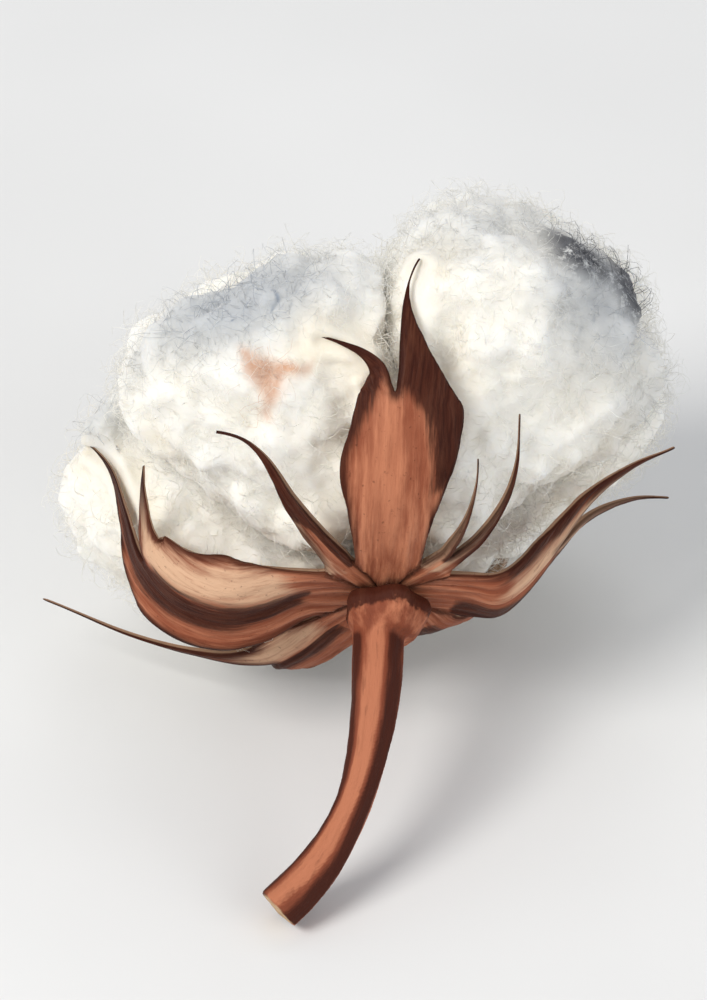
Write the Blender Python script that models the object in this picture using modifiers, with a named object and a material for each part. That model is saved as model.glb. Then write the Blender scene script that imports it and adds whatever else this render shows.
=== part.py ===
"""A cotton boll as picked, lying on its side on a flat surface.

The dry bur is one shell: five broad valves and two narrow ones round a shallow cup, most
of them split into two points. It sits on the knob of a short stalk. Five locks of cotton
fill the bur and bulge out between the broad valves. The boll is drawn about its own axis,
with the axis along +Z and the front valve towards -Y, and then the whole of it is laid
down on the plane z = 0. Lengths are in metres, written as millimetres times MM.
"""

import math
import random
from collections import namedtuple

import bmesh
import bpy
from mathutils import Vector, noise

MM = 0.001
SEED = 11

# How the boll lies: its axis rises from the surface, and its underside is pressed flat.
AXIS_RISE_DEG = 22.0
AXIS_LIFT = 18.3 * MM

# The bur wall: a small whole cup round the base, which then parts into the valves.
WALL = 0.9 * MM
CUP_REACH = 7.0 * MM
CUP_HEIGHT = -0.3 * MM
CUP_ROWS = 3
BODY_ROWS = 7
POINT_ROWS = 8
HALF_COLUMNS = 3
CURL_RUN = 5.0 * MM
POINT_WIDTH = 0.75 * MM
NOTCH = 0.35 * MM

# One half of a valve: its width at its widest, and at what share of its length that is;
# how quickly it narrows from there; the radius it curls inwards by, or outwards if below 0;
# at what share of the valve's line it ends; where its point then is, as a bearing in degrees
# and a reach and a height in millimetres; and how much of that bend is left to the very end.
Half = namedtuple("Half", "width widest narrowing curl end bearing reach height hook")
# A valve: the bearing of its middle line, the bearings between which it leaves the cup, at
# what share of its line it splits, that line as (reach, height) in millimetres, its halves.
Valve = namedtuple("Valve", "bearing start stop split line left right")

FRONT_VALVE = Valve(
    2, -24, 27, 0.59,
    ((13, 0.6), (17.5, 3.2), (20.8, 8), (22.6, 14), (23, 21)),
    Half(4.8 * MM, 0.38, 0.9, 9.5 * MM, 0.76, -15, 23.5, 13.8, 0.75),
    Half(6.8 * MM, 0.56, 2.0, 9.5 * MM, 1.0, 6.5, 23.2, 21.2, 0.8),
)
NARROW_RIGHT_VALVE = Valve(
    37, 27, 54, 0.12,
    ((13, 0.2), (17.5, 1.4), (20.5, 3.6), (22.5, 7.0)),
    Half(1.15 * MM, 0.08, 1.0, 9.5 * MM, 0.7, 24, 20.3, 3.6, 0.0),
    Half(1.6 * MM, 0.05, 1.0, 9.5 * MM, 1.0, 29.5, 23, 7.2, 0.1),
)
RIGHT_VALVE = Valve(
    90, 54, 122, 0.42,
    ((10, -1.1), (12.6, 0.9), (15.5, 5.0), (18.5, 8.6), (22.5, 11), (26.5, 12)),
    Half(3.9 * MM, 0.34, 1.2, 9.5 * MM, 1.0, 76.5, 26.7, 11.2, 0.0),
    Half(3.9 * MM, 0.34, 1.2, 9.5 * MM, 1.0, 102, 26.5, 12.6, 0.0),
)
BACK_RIGHT_VALVE = Valve(
    152, 122, 190, 0.45,
    ((9.8, 0.8), (13.2, 3.2), (16.4, 7), (19, 12), (21.5, 17.5)),
    Half(4.4 * MM, 0.34, 1.2, 9.5 * MM, 1.0, 141, 23.5, 17.5, 0.3),
    Half(4.4 * MM, 0.34, 1.2, 9.5 * MM, 0.9, 166, 23, 16.5, 0.3),
)
BACK_LEFT_VALVE = Valve(
    -140, -170, -122, 0.36,
    ((12, -1.2), (17, -0.8), (21, 1.0), (24.5, 3.6), (27, 6.8)),
    Half(4.2 * MM, 0.30, 1.2, 9.5 * MM, 0.9, -161, 24.5, 12.5, 0.0),
    Half(4.0 * MM, 0.24, 1.3, 9.5 * MM, 1.0, -115.5, 34.8, 7.1, 0.15),
)
LEFT_VALVE = Valve(
    -86, -122, -50, 0.56,
    ((11, -2.2), (14.6, -2.8), (18.6, -1.2), (21.6, 2.4), (23.2, 7.4), (24.4, 12), (26, 15)),
    Half(5.4 * MM, 0.50, 1.1, -9.0 * MM, 1.0, -92, 27.0, 15.8, 0.7),
    Half(6.6 * MM, 0.30, 0.85, 6.0 * MM, 0.82, -72, 22.8, 9.2, 0.0),
)
NARROW_LEFT_VALVE = Valve(
    -29, -50, -24, 0.5,
    ((13, 0.4), (18, 1.8), (21.3, 4.5), (22.2, 7.2)),
    Half(1.9 * MM, 0.08, 0.9, 9.5 * MM, 1.0, -39, 23.8, 6.2, 0.9),
    Half(0.8 * MM, 0.10, 0.9, 9.5 * MM, 1.0, -39, 23.8, 6.2, 0.9),
)
VALVES = (
    FRONT_VALVE,
    NARROW_RIGHT_VALVE,
    RIGHT_VALVE,
    BACK_RIGHT_VALVE,
    BACK_LEFT_VALVE,
    LEFT_VALVE,
    NARROW_LEFT_VALVE,
)

# The locks of cotton and the broad valves on each side of them. A lock is a lobed lump: how
# far its middle is from the axis and above the base, its three half sizes, how much it
# narrows towards its foot, and how far its crown leans in towards the axis.
Lock = namedtuple("Lock", "name before after reach height out across up foot lean lobes")
LOCKS = (
    Lock(
        "lock_front_right", FRONT_VALVE, RIGHT_VALVE,
        14.2 * MM, 17.4 * MM, 13.0 * MM, 15.5 * MM, 14.6 * MM, 0.5, 0.5 * MM, 12,
    ),
    Lock(
        "lock_right", RIGHT_VALVE, BACK_RIGHT_VALVE,
        14.2 * MM, 19.4 * MM, 12.2 * MM, 15.5 * MM, 15.6 * MM, 0.5, 1.0 * MM, 12,
    ),
    Lock(
        "lock_under", BACK_RIGHT_VALVE, BACK_LEFT_VALVE,
        14.8 * MM, 17.4 * MM, 13.9 * MM, 16 * MM, 15 * MM, 0.45, 3.0 * MM, 12,
    ),
    Lock(
        "lock_left", BACK_LEFT_VALVE, LEFT_VALVE,
        16.6 * MM, 12.4 * MM, 13.6 * MM, 15 * MM, 12.6 * MM, 0.2, 2.5 * MM, 11,
    ),
    Lock(
        "lock_front_left", LEFT_VALVE, FRONT_VALVE,
        14 * MM, 14.2 * MM, 12.6 * MM, 15.5 * MM, 12.6 * MM, 0.45, 3.0 * MM, 12,
    ),
)
LOCK_DETAIL = 4
FULLNESS = 0.88
LOBE_HEIGHT = 2.4 * MM
LOBE_EDGE = 0.42
ROUGHNESS = 0.5 * MM
ROUGHNESS_SIZE = 7.0 * MM
LOCK_GAP = 0.14 * MM
SEAM_WAVE = 1.0 * MM
SEAM_WAVE_LENGTH = 17 * MM
LOCK_ROUNDING = 2.4 * MM
VALVE_CLEARANCE = 0.5 * MM
GROOVE_RELEASE = 4.0 * MM

# The knob at the top of the stalk, with what is left of the calyx as its wavy rim.
KNOB_PROFILE_MM = ((0, -0.9), (2.4, -0.85), (3.5, -0.95), (3.85, -1.8), (3.5, -3.1), (2.6, -4.6), (0, -5.0))
KNOB_STEPS = 30
CALYX_WAVE = 0.10
CALYX_TEETH = 5

# The stalk, from the knob to the end where it was picked off its twig.
STALK_LENGTH_ALONG = 28.5 * MM
STALK_SIDE = -9.6 * MM
STALK_TOP = Vector((-0.7, 0, -2.4)) * MM
STALK_TOP_RADIUS = 2.5 * MM
STALK_WAIST_RADIUS = 1.8 * MM
STALK_END_RADIUS = 2.35 * MM
STALK_END_LIFT = 2.07 * MM
STALK_POINTS = 14

BUR_COLOUR = (0.36, 0.11, 0.055)
STALK_COLOUR = (0.38, 0.12, 0.06)
COTTON_COLOUR = (0.90, 0.87, 0.79)


def smoothstep(low, high, value):
    t = min(1.0, max(0.0, (value - low) / (high - low)))
    return t * t * (3 - 2 * t)


def mix(a, b, share):
    return a + (b - a) * share


def rounded_max(value, floor, rounding):
    """The larger of value and floor, with the corner between them rounded off."""
    h = min(1.0, max(0.0, 0.5 + 0.5 * (value - floor) / rounding))
    return mix(floor, value, h) + rounding * h * (1 - h)


def outwards(bearing):
    """The unit vector away from the axis at a bearing in degrees, 0 to the front."""
    a = math.radians(bearing)
    return Vector((math.sin(a), -math.cos(a), 0))


def sideways(bearing):
    """The unit vector round the axis at a bearing, towards larger bearings."""
    a = math.radians(bearing)
    return Vector((math.cos(a), math.sin(a), 0))


def around(bearing, reach, height):
    """A point from its bearing, its reach from the axis and its height above the base."""
    return outwards(bearing) * reach + Vector((0, 0, height))


def add_object(name, mesh, colour, roughness=0.8):
    obj = bpy.data.objects.new(name, mesh)
    material = bpy.data.materials.get(name) or bpy.data.materials.new(name)
    material.use_nodes = True
    shader = material.node_tree.nodes["Principled BSDF"]
    shader.inputs["Base Color"].default_value = (*colour, 1)
    shader.inputs["Roughness"].default_value = roughness
    shader.inputs["Metallic"].default_value = 0
    mesh.materials.clear()
    mesh.materials.append(material)
    bpy.data.collections["cotton_boll"].objects.link(obj)
    obj.parent = bpy.data.objects["boll_axis"]
    mesh.shade_smooth()
    return obj


def spline(stops, place):
    """A smooth curve through 2D stops, at a place counted in stops from the first."""
    i = min(len(stops) - 2, max(0, int(place)))
    t = place - i
    b, c = stops[i], stops[i + 1]
    a = stops[i - 1] if i else (2 * b[0] - c[0], 2 * b[1] - c[1])
    d = stops[i + 2] if i + 2 < len(stops) else (2 * c[0] - b[0], 2 * c[1] - b[1])
    return [
        q + 0.5 * t * (r - p + t * (2 * p - 5 * q + 4 * r - s + t * (3 * (q - r) + s - p)))
        for p, q, r, s in zip(a, b, c, d)
    ]


def valve_line(valve):
    """The valve's middle line beyond the cup, as even steps of (reach, height, rise)."""
    stops = [(0, 0), (CUP_REACH, CUP_HEIGHT)] + [(r * MM, h * MM) for r, h in valve.line]
    fine = [spline(stops, 1 + i * (len(stops) - 2) / 400) for i in range(401)]
    lengths = [0.0]
    for (r0, h0), (r1, h1) in zip(fine, fine[1:]):
        lengths.append(lengths[-1] + math.hypot(r1 - r0, h1 - h0))
    line, i = [], 0
    for step in range(101):
        while i < 399 and lengths[i + 1] < lengths[-1] * step / 100:
            i += 1
        (r0, h0), (r1, h1) = fine[i], fine[i + 1]
        line.append((r0, h0, math.atan2(h1 - h0, r1 - r0)))
    return line


def on_line(line, share):
    place = min(99.999, max(0.0, share * 100))
    i = int(place)
    return [mix(a, b, place - i) for a, b in zip(line[i], line[i + 1])]


def split_share(valve, share):
    """How far along its own point a half is: 0 up to the split and 1 at the end."""
    return max(0.0, (share - valve.split) / (1 - valve.split))


def inner_edge(valve, half, line, share):
    """Where a half's inner edge runs: the middle line, and past the split its own way."""
    split = split_share(valve, share)
    along = share if split <= 0 else mix(valve.split, half.end, split)
    reach, height, rise = on_line(line, along)
    last_reach, last_height, _ = on_line(line, half.end)
    bend = around(half.bearing, half.reach * MM, half.height * MM)
    bend -= around(valve.bearing, last_reach, last_height)
    eased = mix(split**1.6, split**5, half.hook)
    return around(valve.bearing, reach, height) + bend * eased, reach, height, rise


def half_width(half, share, cup_width):
    if share < half.widest:
        return mix(cup_width, half.width, smoothstep(0, half.widest, share))
    past = (share - half.widest) / (1 - half.widest)
    return max(POINT_WIDTH, half.width * (1 - past) ** half.narrowing)


def wall_point(valve, side, line, share, across, cup_width):
    """A point of the wall beyond the cup: side -1 or 1 of the valve, across 0 at its inner edge."""
    half = valve.left if side < 0 else valve.right
    edge, reach, height, rise = inner_edge(valve, half, line, share)
    ahead = inner_edge(valve, half, line, min(1, share + 0.02))[0]
    behind = inner_edge(valve, half, line, max(0, share - 0.02))[0]
    inward = Vector((0, 0, math.cos(rise))) - outwards(valve.bearing) * math.sin(rise)
    sidewise = inward.cross((ahead - behind).normalized()).normalized() * side
    width = across * half_width(half, share, cup_width)
    if valve.left.bearing != valve.right.bearing:
        width += NOTCH * smoothstep(0, 0.2, split_share(valve, share))
    turn = width / half.curl
    curled = edge + (sidewise * math.sin(turn) + inward * (1 - math.cos(turn))) * half.curl
    on_cup = around(valve.bearing + side * math.degrees(width / reach), reach, height)
    length = len(valve.line) * 5.5 * MM
    return on_cup.lerp(curled, smoothstep(0, CURL_RUN / length, share))


def cup_point(valve, side, share, across):
    """A point of the cup: share 0 at the axis and 1 where the valve leaves the cup."""
    sector = (valve.bearing - valve.start) if side < 0 else (valve.stop - valve.bearing)
    height = CUP_HEIGHT * share * share
    return around(valve.bearing + side * across * sector, CUP_REACH * share, height)


def half_rows(valve):
    """The shares of a half's rows: negative in the cup, 0 where it leaves it, 1 at the end."""
    cup = [i / CUP_ROWS - 1 for i in range(CUP_ROWS)]
    body = [valve.split * i / BODY_ROWS for i in range(BODY_ROWS)]
    point = [mix(valve.split, 1, 1 - (1 - i / POINT_ROWS) ** 1.2) for i in range(POINT_ROWS + 1)]
    return cup + body + point


def bur_surface():
    """The bur wall's middle surface: the half valves, merged where their edges meet."""
    mesh = bpy.data.meshes.new("bur")
    whole = bmesh.new()
    for valve in VALVES:
        line = valve_line(valve)
        rows = half_rows(valve)
        for side in (-1, 1):
            sector = (valve.bearing - valve.start) if side < 0 else (valve.stop - valve.bearing)
            cup_width = CUP_REACH * math.radians(sector)
            grid = bmesh.ops.create_grid(
                whole, x_segments=HALF_COLUMNS, y_segments=len(rows) - 1, size=0.5
            )
            for vert in grid["verts"]:
                across = vert.co.x + 0.5
                share = rows[round((vert.co.y + 0.5) * (len(rows) - 1))]
                if share <= 0:
                    vert.co = cup_point(valve, side, share + 1, across)
                else:
                    vert.co = wall_point(valve, side, line, share, across, cup_width)
            if side < 0:
                faces = {face for vert in grid["verts"] for face in vert.link_faces}
                bmesh.ops.reverse_faces(whole, faces=list(faces))
    bmesh.ops.remove_doubles(whole, verts=whole.verts, dist=0.01 * MM)
    whole.to_mesh(mesh)
    whole.free()
    return mesh


def thicken(obj, thickness):
    """Gives an open surface a wall of this thickness, half of it on each side."""
    wall = obj.modifiers.new("wall", "SOLIDIFY")
    wall.thickness = thickness
    wall.offset = 0


def applied(obj):
    """Puts the object's modifiers into its mesh."""
    graph = bpy.context.evaluated_depsgraph_get()
    graph.update()
    mesh = bpy.data.meshes.new_from_object(obj.evaluated_get(graph))
    obj.modifiers.clear()
    obj.data = mesh
    return obj


def add_bur():
    bur = add_object("bur", bur_surface(), BUR_COLOUR)
    thicken(bur, WALL)
    return bur


def seed_directions(lock, draw):
    """Where a lock's seeds swell its surface: a spiral of even directions, a little shaken."""
    golden = math.pi * (3 - math.sqrt(5))
    start = draw.uniform(0, 2 * math.pi)
    found = []
    for i in range(lock.lobes):
        z = 1 - 2 * (i + 0.5 + draw.uniform(-0.3, 0.3)) / lock.lobes
        turn = start + i * golden + draw.uniform(-0.3, 0.3)
        flat = math.sqrt(1 - z * z)
        found.append(Vector((flat * math.cos(turn), flat * math.sin(turn), z)))
    return found


def lobe_swell(direction, seeds):
    """1 over most of each seed's lobe, rounding down to 0 in the creases between lobes."""
    nearest, second = sorted((direction - seed).length for seed in seeds)[:2]
    inside = min(1.0, (second - nearest) / LOBE_EDGE)
    return math.sqrt(inside * (2 - inside))


def lock_point(lock, direction, seeds):
    """A point of the lock's free form, in (out, across, up) from the boll's base."""
    swell = LOBE_HEIGHT * (lobe_swell(direction, seeds) - 0.85)
    x, y, z = (math.copysign(abs(part) ** FULLNESS, part) for part in direction)
    foot = 1 - lock.foot * smoothstep(-0.15, 1.0, -z)
    out = lock.reach * foot - lock.lean * max(0.0, z) ** 2 + x * (lock.out * foot + swell)
    across = y * (lock.across * foot + swell)
    up = lock.height + z * (lock.up + swell)
    return out, across, up


def wall_at_height(valve, half, line, height):
    """The reach of a valve's middle line at a height, and its half's width there or 0."""
    for i in range(len(line) - 2, 0, -1):
        if line[i][1] <= height < line[i + 1][1]:
            return line[i][0], half_width(half, i / 100, half.width)
    return line[-1][0], 0.0


def kept_inside(point, valve, side, line):
    """The point, held off the plane of a neighbouring valve and inside that valve's curl."""
    round_axis = sideways(valve.bearing) * side
    out = outwards(valve.bearing)
    wave = side * SEAM_WAVE * math.sin((point.dot(out) + 0.6 * point.z) / SEAM_WAVE_LENGTH * 2 * math.pi)
    free = point.dot(round_axis) - wave
    point = point + round_axis * (rounded_max(free, LOCK_GAP, LOCK_ROUNDING) - free)
    off_plane = max(0.0, point.dot(round_axis))
    half = valve.left if side < 0 else valve.right
    wall_reach, width = wall_at_height(valve, half, line, point.z)
    if width <= 0:
        return point
    curl = min(off_plane, width) ** 2 / (2 * half.curl) if half.curl > 0 else 0.0
    limit = wall_reach - curl - WALL / 2 - VALVE_CLEARANCE
    reach = point.dot(out)
    if reach > limit:
        free = smoothstep(width, width + GROOVE_RELEASE, off_plane)
        point = point + out * (mix(limit, reach, free) - reach)
    return point


def lock_mesh(index, lock):
    """A lock as a lobed ball, shaped to the room between its two valves."""
    draw = random.Random(SEED + index)
    seeds = seed_directions(lock, draw)
    middle = lock.before.bearing + (lock.after.bearing - lock.before.bearing) % 360 / 2
    out, round_axis = outwards(middle), sideways(middle)
    line_before, line_after = valve_line(lock.before), valve_line(lock.after)
    ball = bmesh.new()
    bmesh.ops.create_icosphere(ball, subdivisions=LOCK_DETAIL, radius=1)
    for vert in ball.verts:
        direction = vert.co.normalized()
        reach, across, up = lock_point(lock, direction, seeds)
        point = out * reach + round_axis * across + Vector((0, 0, up))
        shake = noise.noise(point / ROUGHNESS_SIZE + Vector((index * 7.1, 0, 0)))
        point += (out * direction.x + round_axis * direction.y) * shake * ROUGHNESS
        point = kept_inside(point, lock.before, 1, line_before)
        point = kept_inside(point, lock.after, -1, line_after)
        vert.co = point
    mesh = bpy.data.meshes.new(lock.name)
    ball.to_mesh(mesh)
    ball.free()
    return mesh


def cut_with(obj, cutter, name):
    cut = obj.modifiers.new(name, "BOOLEAN")
    cut.operation = "DIFFERENCE"
    cut.solver = "EXACT"
    cut.object = cutter


def drop_scraps(obj):
    """Keeps only the largest body of a mesh that a cut left in pieces, with no slivers."""
    whole = bmesh.new()
    whole.from_mesh(obj.data)
    left = set(whole.verts)
    bodies = []
    while left:
        body, edge = set(), [left.pop()]
        while edge:
            vert = edge.pop()
            body.add(vert)
            near = {e.other_vert(vert) for e in vert.link_edges} & left
            left -= near
            edge.extend(near)
        bodies.append(body)
    bodies.sort(key=len)
    scraps = [vert for body in bodies[:-1] for vert in body]
    bmesh.ops.delete(whole, geom=scraps, context="VERTS")
    bmesh.ops.remove_doubles(whole, verts=whole.verts, dist=0.005 * MM)
    whole.to_mesh(obj.data)
    whole.free()


def add_locks(clearance, surface):
    for index, lock in enumerate(LOCKS):
        obj = add_object(lock.name, lock_mesh(index, lock), COTTON_COLOUR, roughness=0.95)
        cut_with(obj, clearance, "room_for_bur")
        if lock.name == "lock_under":
            cut_with(obj, surface, "pressed_flat")
        drop_scraps(applied(obj))


def stalk_end():
    """The middle of the stalk's picked end, whose lower edge touches the surface."""
    rise = math.radians(AXIS_RISE_DEG)
    along = -STALK_LENGTH_ALONG
    back = (along * math.sin(rise) + AXIS_LIFT - STALK_END_LIFT) / math.cos(rise)
    return Vector((STALK_SIDE, back, along))


def stalk_line():
    """The stalk's middle line: straight down from the knob, then bending to its end."""
    end = stalk_end()
    first_pull = STALK_TOP + Vector((0, 0, -0.5 * STALK_LENGTH_ALONG))
    last_pull = end + Vector((0.7 * abs(STALK_SIDE), -0.28 * end.y, 0.2 * STALK_LENGTH_ALONG))
    points = []
    for i in range(STALK_POINTS):
        t = i / (STALK_POINTS - 1)
        points.append(
            (1 - t) ** 3 * STALK_TOP
            + 3 * t * (1 - t) ** 2 * first_pull
            + 3 * t * t * (1 - t) * last_pull
            + t**3 * end
        )
    return points


def stalk_radius(t):
    """The stalk is thick under the knob and at the twig it grew from, thinner between them."""
    waist = mix(STALK_TOP_RADIUS, STALK_WAIST_RADIUS, smoothstep(0, 0.6, t))
    return waist + (STALK_END_RADIUS - STALK_WAIST_RADIUS) * smoothstep(0.55, 1, t)


def add_stalk():
    curve = bpy.data.curves.new("stalk_line", "CURVE")
    curve.dimensions = "3D"
    curve.bevel_depth = 1
    curve.bevel_resolution = 2
    curve.use_fill_caps = True
    points = stalk_line()
    middle = curve.splines.new("POLY")
    middle.points.add(len(points) - 1)
    for i, (target, place) in enumerate(zip(middle.points, points)):
        target.co = (*place, 1)
        target.radius = stalk_radius(i / (len(points) - 1))
    tube = bpy.data.objects.new("stalk_tube", curve)
    bpy.data.collections["cotton_boll"].objects.link(tube)
    tube.parent = bpy.data.objects["boll_axis"]
    graph = bpy.context.evaluated_depsgraph_get()
    graph.update()
    mesh = bpy.data.meshes.new_from_object(tube.evaluated_get(graph))
    bpy.data.objects.remove(tube)
    whole = bmesh.new()
    whole.from_mesh(mesh)
    bmesh.ops.remove_doubles(whole, verts=whole.verts, dist=0.01 * MM)
    whole.to_mesh(mesh)
    whole.free()
    stalk = add_object("stalk", mesh, STALK_COLOUR)
    knob = add_knob()
    join = stalk.modifiers.new("knob", "BOOLEAN")
    join.operation = "UNION"
    join.solver = "EXACT"
    join.object = knob
    applied(stalk)
    bpy.data.objects.remove(knob)
    return stalk


def add_knob():
    """The swollen top of the stalk, turned, with the calyx as five low waves round it."""
    mesh = bpy.data.meshes.new("knob")
    profile = bmesh.new()
    verts = [profile.verts.new((r * MM, 0, z * MM)) for r, z in KNOB_PROFILE_MM]
    for a, b in zip(verts, verts[1:]):
        profile.edges.new((a, b))
    profile.to_mesh(mesh)
    profile.free()
    knob = add_object("knob", mesh, STALK_COLOUR)
    turn = knob.modifiers.new("turn", "SCREW")
    turn.steps = turn.render_steps = KNOB_STEPS
    turn.use_merge_vertices = True
    turn.merge_threshold = 0.00001
    applied(knob)
    for vert in knob.data.vertices:
        wave = math.cos(CALYX_TEETH * math.atan2(vert.co.y, vert.co.x))
        weight = smoothstep(-4.0 * MM, -1.2 * MM, vert.co.z)
        grow = 1 + CALYX_WAVE * wave * weight
        vert.co.x *= grow
        vert.co.y *= grow
    return knob


def add_helpers():
    """The cutters: the bur with room round it, and the surface that the boll lies on."""
    clearance = add_object("clearance", bur_surface(), BUR_COLOUR)
    thicken(clearance, WALL)
    applied(clearance)
    normals = [vert.normal.copy() for vert in clearance.data.vertices]
    for vert, normal in zip(clearance.data.vertices, normals):
        vert.co += normal * VALVE_CLEARANCE
    block = bmesh.new()
    bmesh.ops.create_cube(block, size=0.1)
    mesh = bpy.data.meshes.new("surface")
    block.to_mesh(mesh)
    block.free()
    surface = add_object("surface", mesh, COTTON_COLOUR)
    surface.parent = None
    surface.location = (0, 0, -0.05)
    for cutter in (clearance, surface):
        bpy.data.collections["cotton_boll"].objects.unlink(cutter)
        bpy.data.collections["cutters"].objects.link(cutter)
        cutter.hide_render = True
        cutter.display_type = "WIRE"
    return clearance, surface


def stand_over_origin():
    """Moves the boll along the surface until its box is centred on the origin."""
    bpy.context.view_layer.update()
    graph = bpy.context.evaluated_depsgraph_get()
    corners = []
    for obj in bpy.data.collections["cotton_boll"].objects:
        if obj.type == "MESH":
            shown = obj.evaluated_get(graph)
            corners += [shown.matrix_world @ vert.co for vert in shown.data.vertices]
    axis = bpy.data.objects["boll_axis"]
    for i in (0, 1):
        values = [corner[i] for corner in corners]
        axis.location[i] -= (min(values) + max(values)) / 2
    bpy.context.view_layer.update()


def clear_scene():
    for obj in list(bpy.data.objects):
        bpy.data.objects.remove(obj)
    for name in ("cotton_boll", "cutters"):
        bpy.context.scene.collection.children.link(bpy.data.collections.new(name))


def main():
    clear_scene()
    axis = bpy.data.objects.new("boll_axis", None)
    bpy.data.collections["cotton_boll"].objects.link(axis)
    axis.rotation_euler.x = -math.radians(90 - AXIS_RISE_DEG)
    axis.location.z = AXIS_LIFT
    bpy.context.view_layer.update()
    clearance, surface = add_helpers()
    add_bur()
    add_locks(clearance, surface)
    add_stalk()
    stand_over_origin()


main()
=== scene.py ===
"""Dresses a picked cotton boll: its five locks of lint with their loose fibres, the dry bur
that they burst from, the stalk, and the pale floor that it lies on.

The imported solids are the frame. Every solid is replaced by a finer piece of the same form.
The boll has a frame of its own, with its axis along +Z, its base at the origin and its front
valve towards -Y, which is then laid down on its side. Lengths are in metres.
"""

import math
from collections import namedtuple

import bmesh
import bpy
import numpy as np
from bpy.props import FloatProperty, FloatVectorProperty, IntProperty, PointerProperty
from mathutils import Matrix, Vector, noise
from mathutils.bvhtree import BVHTree


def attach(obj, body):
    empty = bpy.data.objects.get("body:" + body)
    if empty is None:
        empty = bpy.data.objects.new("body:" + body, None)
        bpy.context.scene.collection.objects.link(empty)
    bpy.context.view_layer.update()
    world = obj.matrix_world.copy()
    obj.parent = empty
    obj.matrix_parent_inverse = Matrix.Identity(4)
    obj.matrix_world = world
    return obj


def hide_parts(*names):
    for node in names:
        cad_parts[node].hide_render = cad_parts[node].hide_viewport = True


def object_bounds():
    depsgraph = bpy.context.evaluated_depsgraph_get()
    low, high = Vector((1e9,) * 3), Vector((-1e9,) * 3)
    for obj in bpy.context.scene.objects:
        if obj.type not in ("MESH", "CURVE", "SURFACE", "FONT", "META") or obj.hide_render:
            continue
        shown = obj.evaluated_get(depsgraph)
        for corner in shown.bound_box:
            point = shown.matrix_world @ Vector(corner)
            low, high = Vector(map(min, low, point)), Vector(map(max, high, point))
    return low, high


bl_info = {
    "name": "Cotton Boll",
    "version": (1, 0, 0),
    "blender": (4, 5, 0),
    "location": "3D View > Sidebar > Cotton Boll",
    "description": "Dresses a picked cotton boll with lint, a dry bur and a stalk",
    "category": "Object",
}

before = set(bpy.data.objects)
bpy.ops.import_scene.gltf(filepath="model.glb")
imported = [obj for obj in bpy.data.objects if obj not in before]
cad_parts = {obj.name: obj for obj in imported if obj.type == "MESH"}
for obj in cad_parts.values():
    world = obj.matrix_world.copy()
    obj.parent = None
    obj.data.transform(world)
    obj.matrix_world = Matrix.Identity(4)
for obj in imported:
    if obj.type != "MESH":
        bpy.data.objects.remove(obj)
SOLIDS_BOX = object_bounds()

MM = 0.001
BODY = "root"

# Where the boll lies: its base, and how far its axis rises from the floor.
BOLL_BASE = Vector((2.91719, -5.26704, 18.3)) * MM
AXIS_RISE_DEG = 22.0
BOLL_PLACE = Matrix.Translation(BOLL_BASE) @ Matrix.Rotation(-math.radians(90 - AXIS_RISE_DEG), 4, "X")

# The camera looks down on the boll, so that it is seen from a little below its own side.
CAMERA_RISE_DEG = 40.0
CAMERA_DISTANCE = 0.62
CAMERA_LENS = 250.0

LOCK_NODES = ("lock_front_right", "lock_right", "lock_under", "lock_left", "lock_front_left")

# The bur wall: a small whole cup round the base, which then parts into the valves.
WALL = 0.9 * MM
CUP_REACH = 7.0 * MM
CUP_HEIGHT = -0.3 * MM
CURL_RUN = 5.0 * MM
POINT_WIDTH = 0.16 * MM
POINT_WALL = 0.3
NOTCH = 0.25 * MM
CUP_ROWS = 9
BODY_ROWS = 18
POINT_ROWS = 22
HALF_COLUMNS = 7

# One half of a valve: its width at its widest, and at what share of its length that is;
# how quickly it narrows from there; the radius it curls inwards by, or outwards if below 0;
# at what share of the valve's line it ends; where its point then is, as a bearing in degrees
# and a reach and a height in millimetres; how much of that bend is left to the very end; and
# how dark its edges are.
Half = namedtuple("Half", "width widest narrowing curl end bearing reach height hook dark")
# A valve: the bearing of its middle line, the bearings between which it leaves the cup, at
# what share of its line it splits, that line as (reach, height) in millimetres, its halves.
Valve = namedtuple("Valve", "bearing start stop split line left right")

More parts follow.
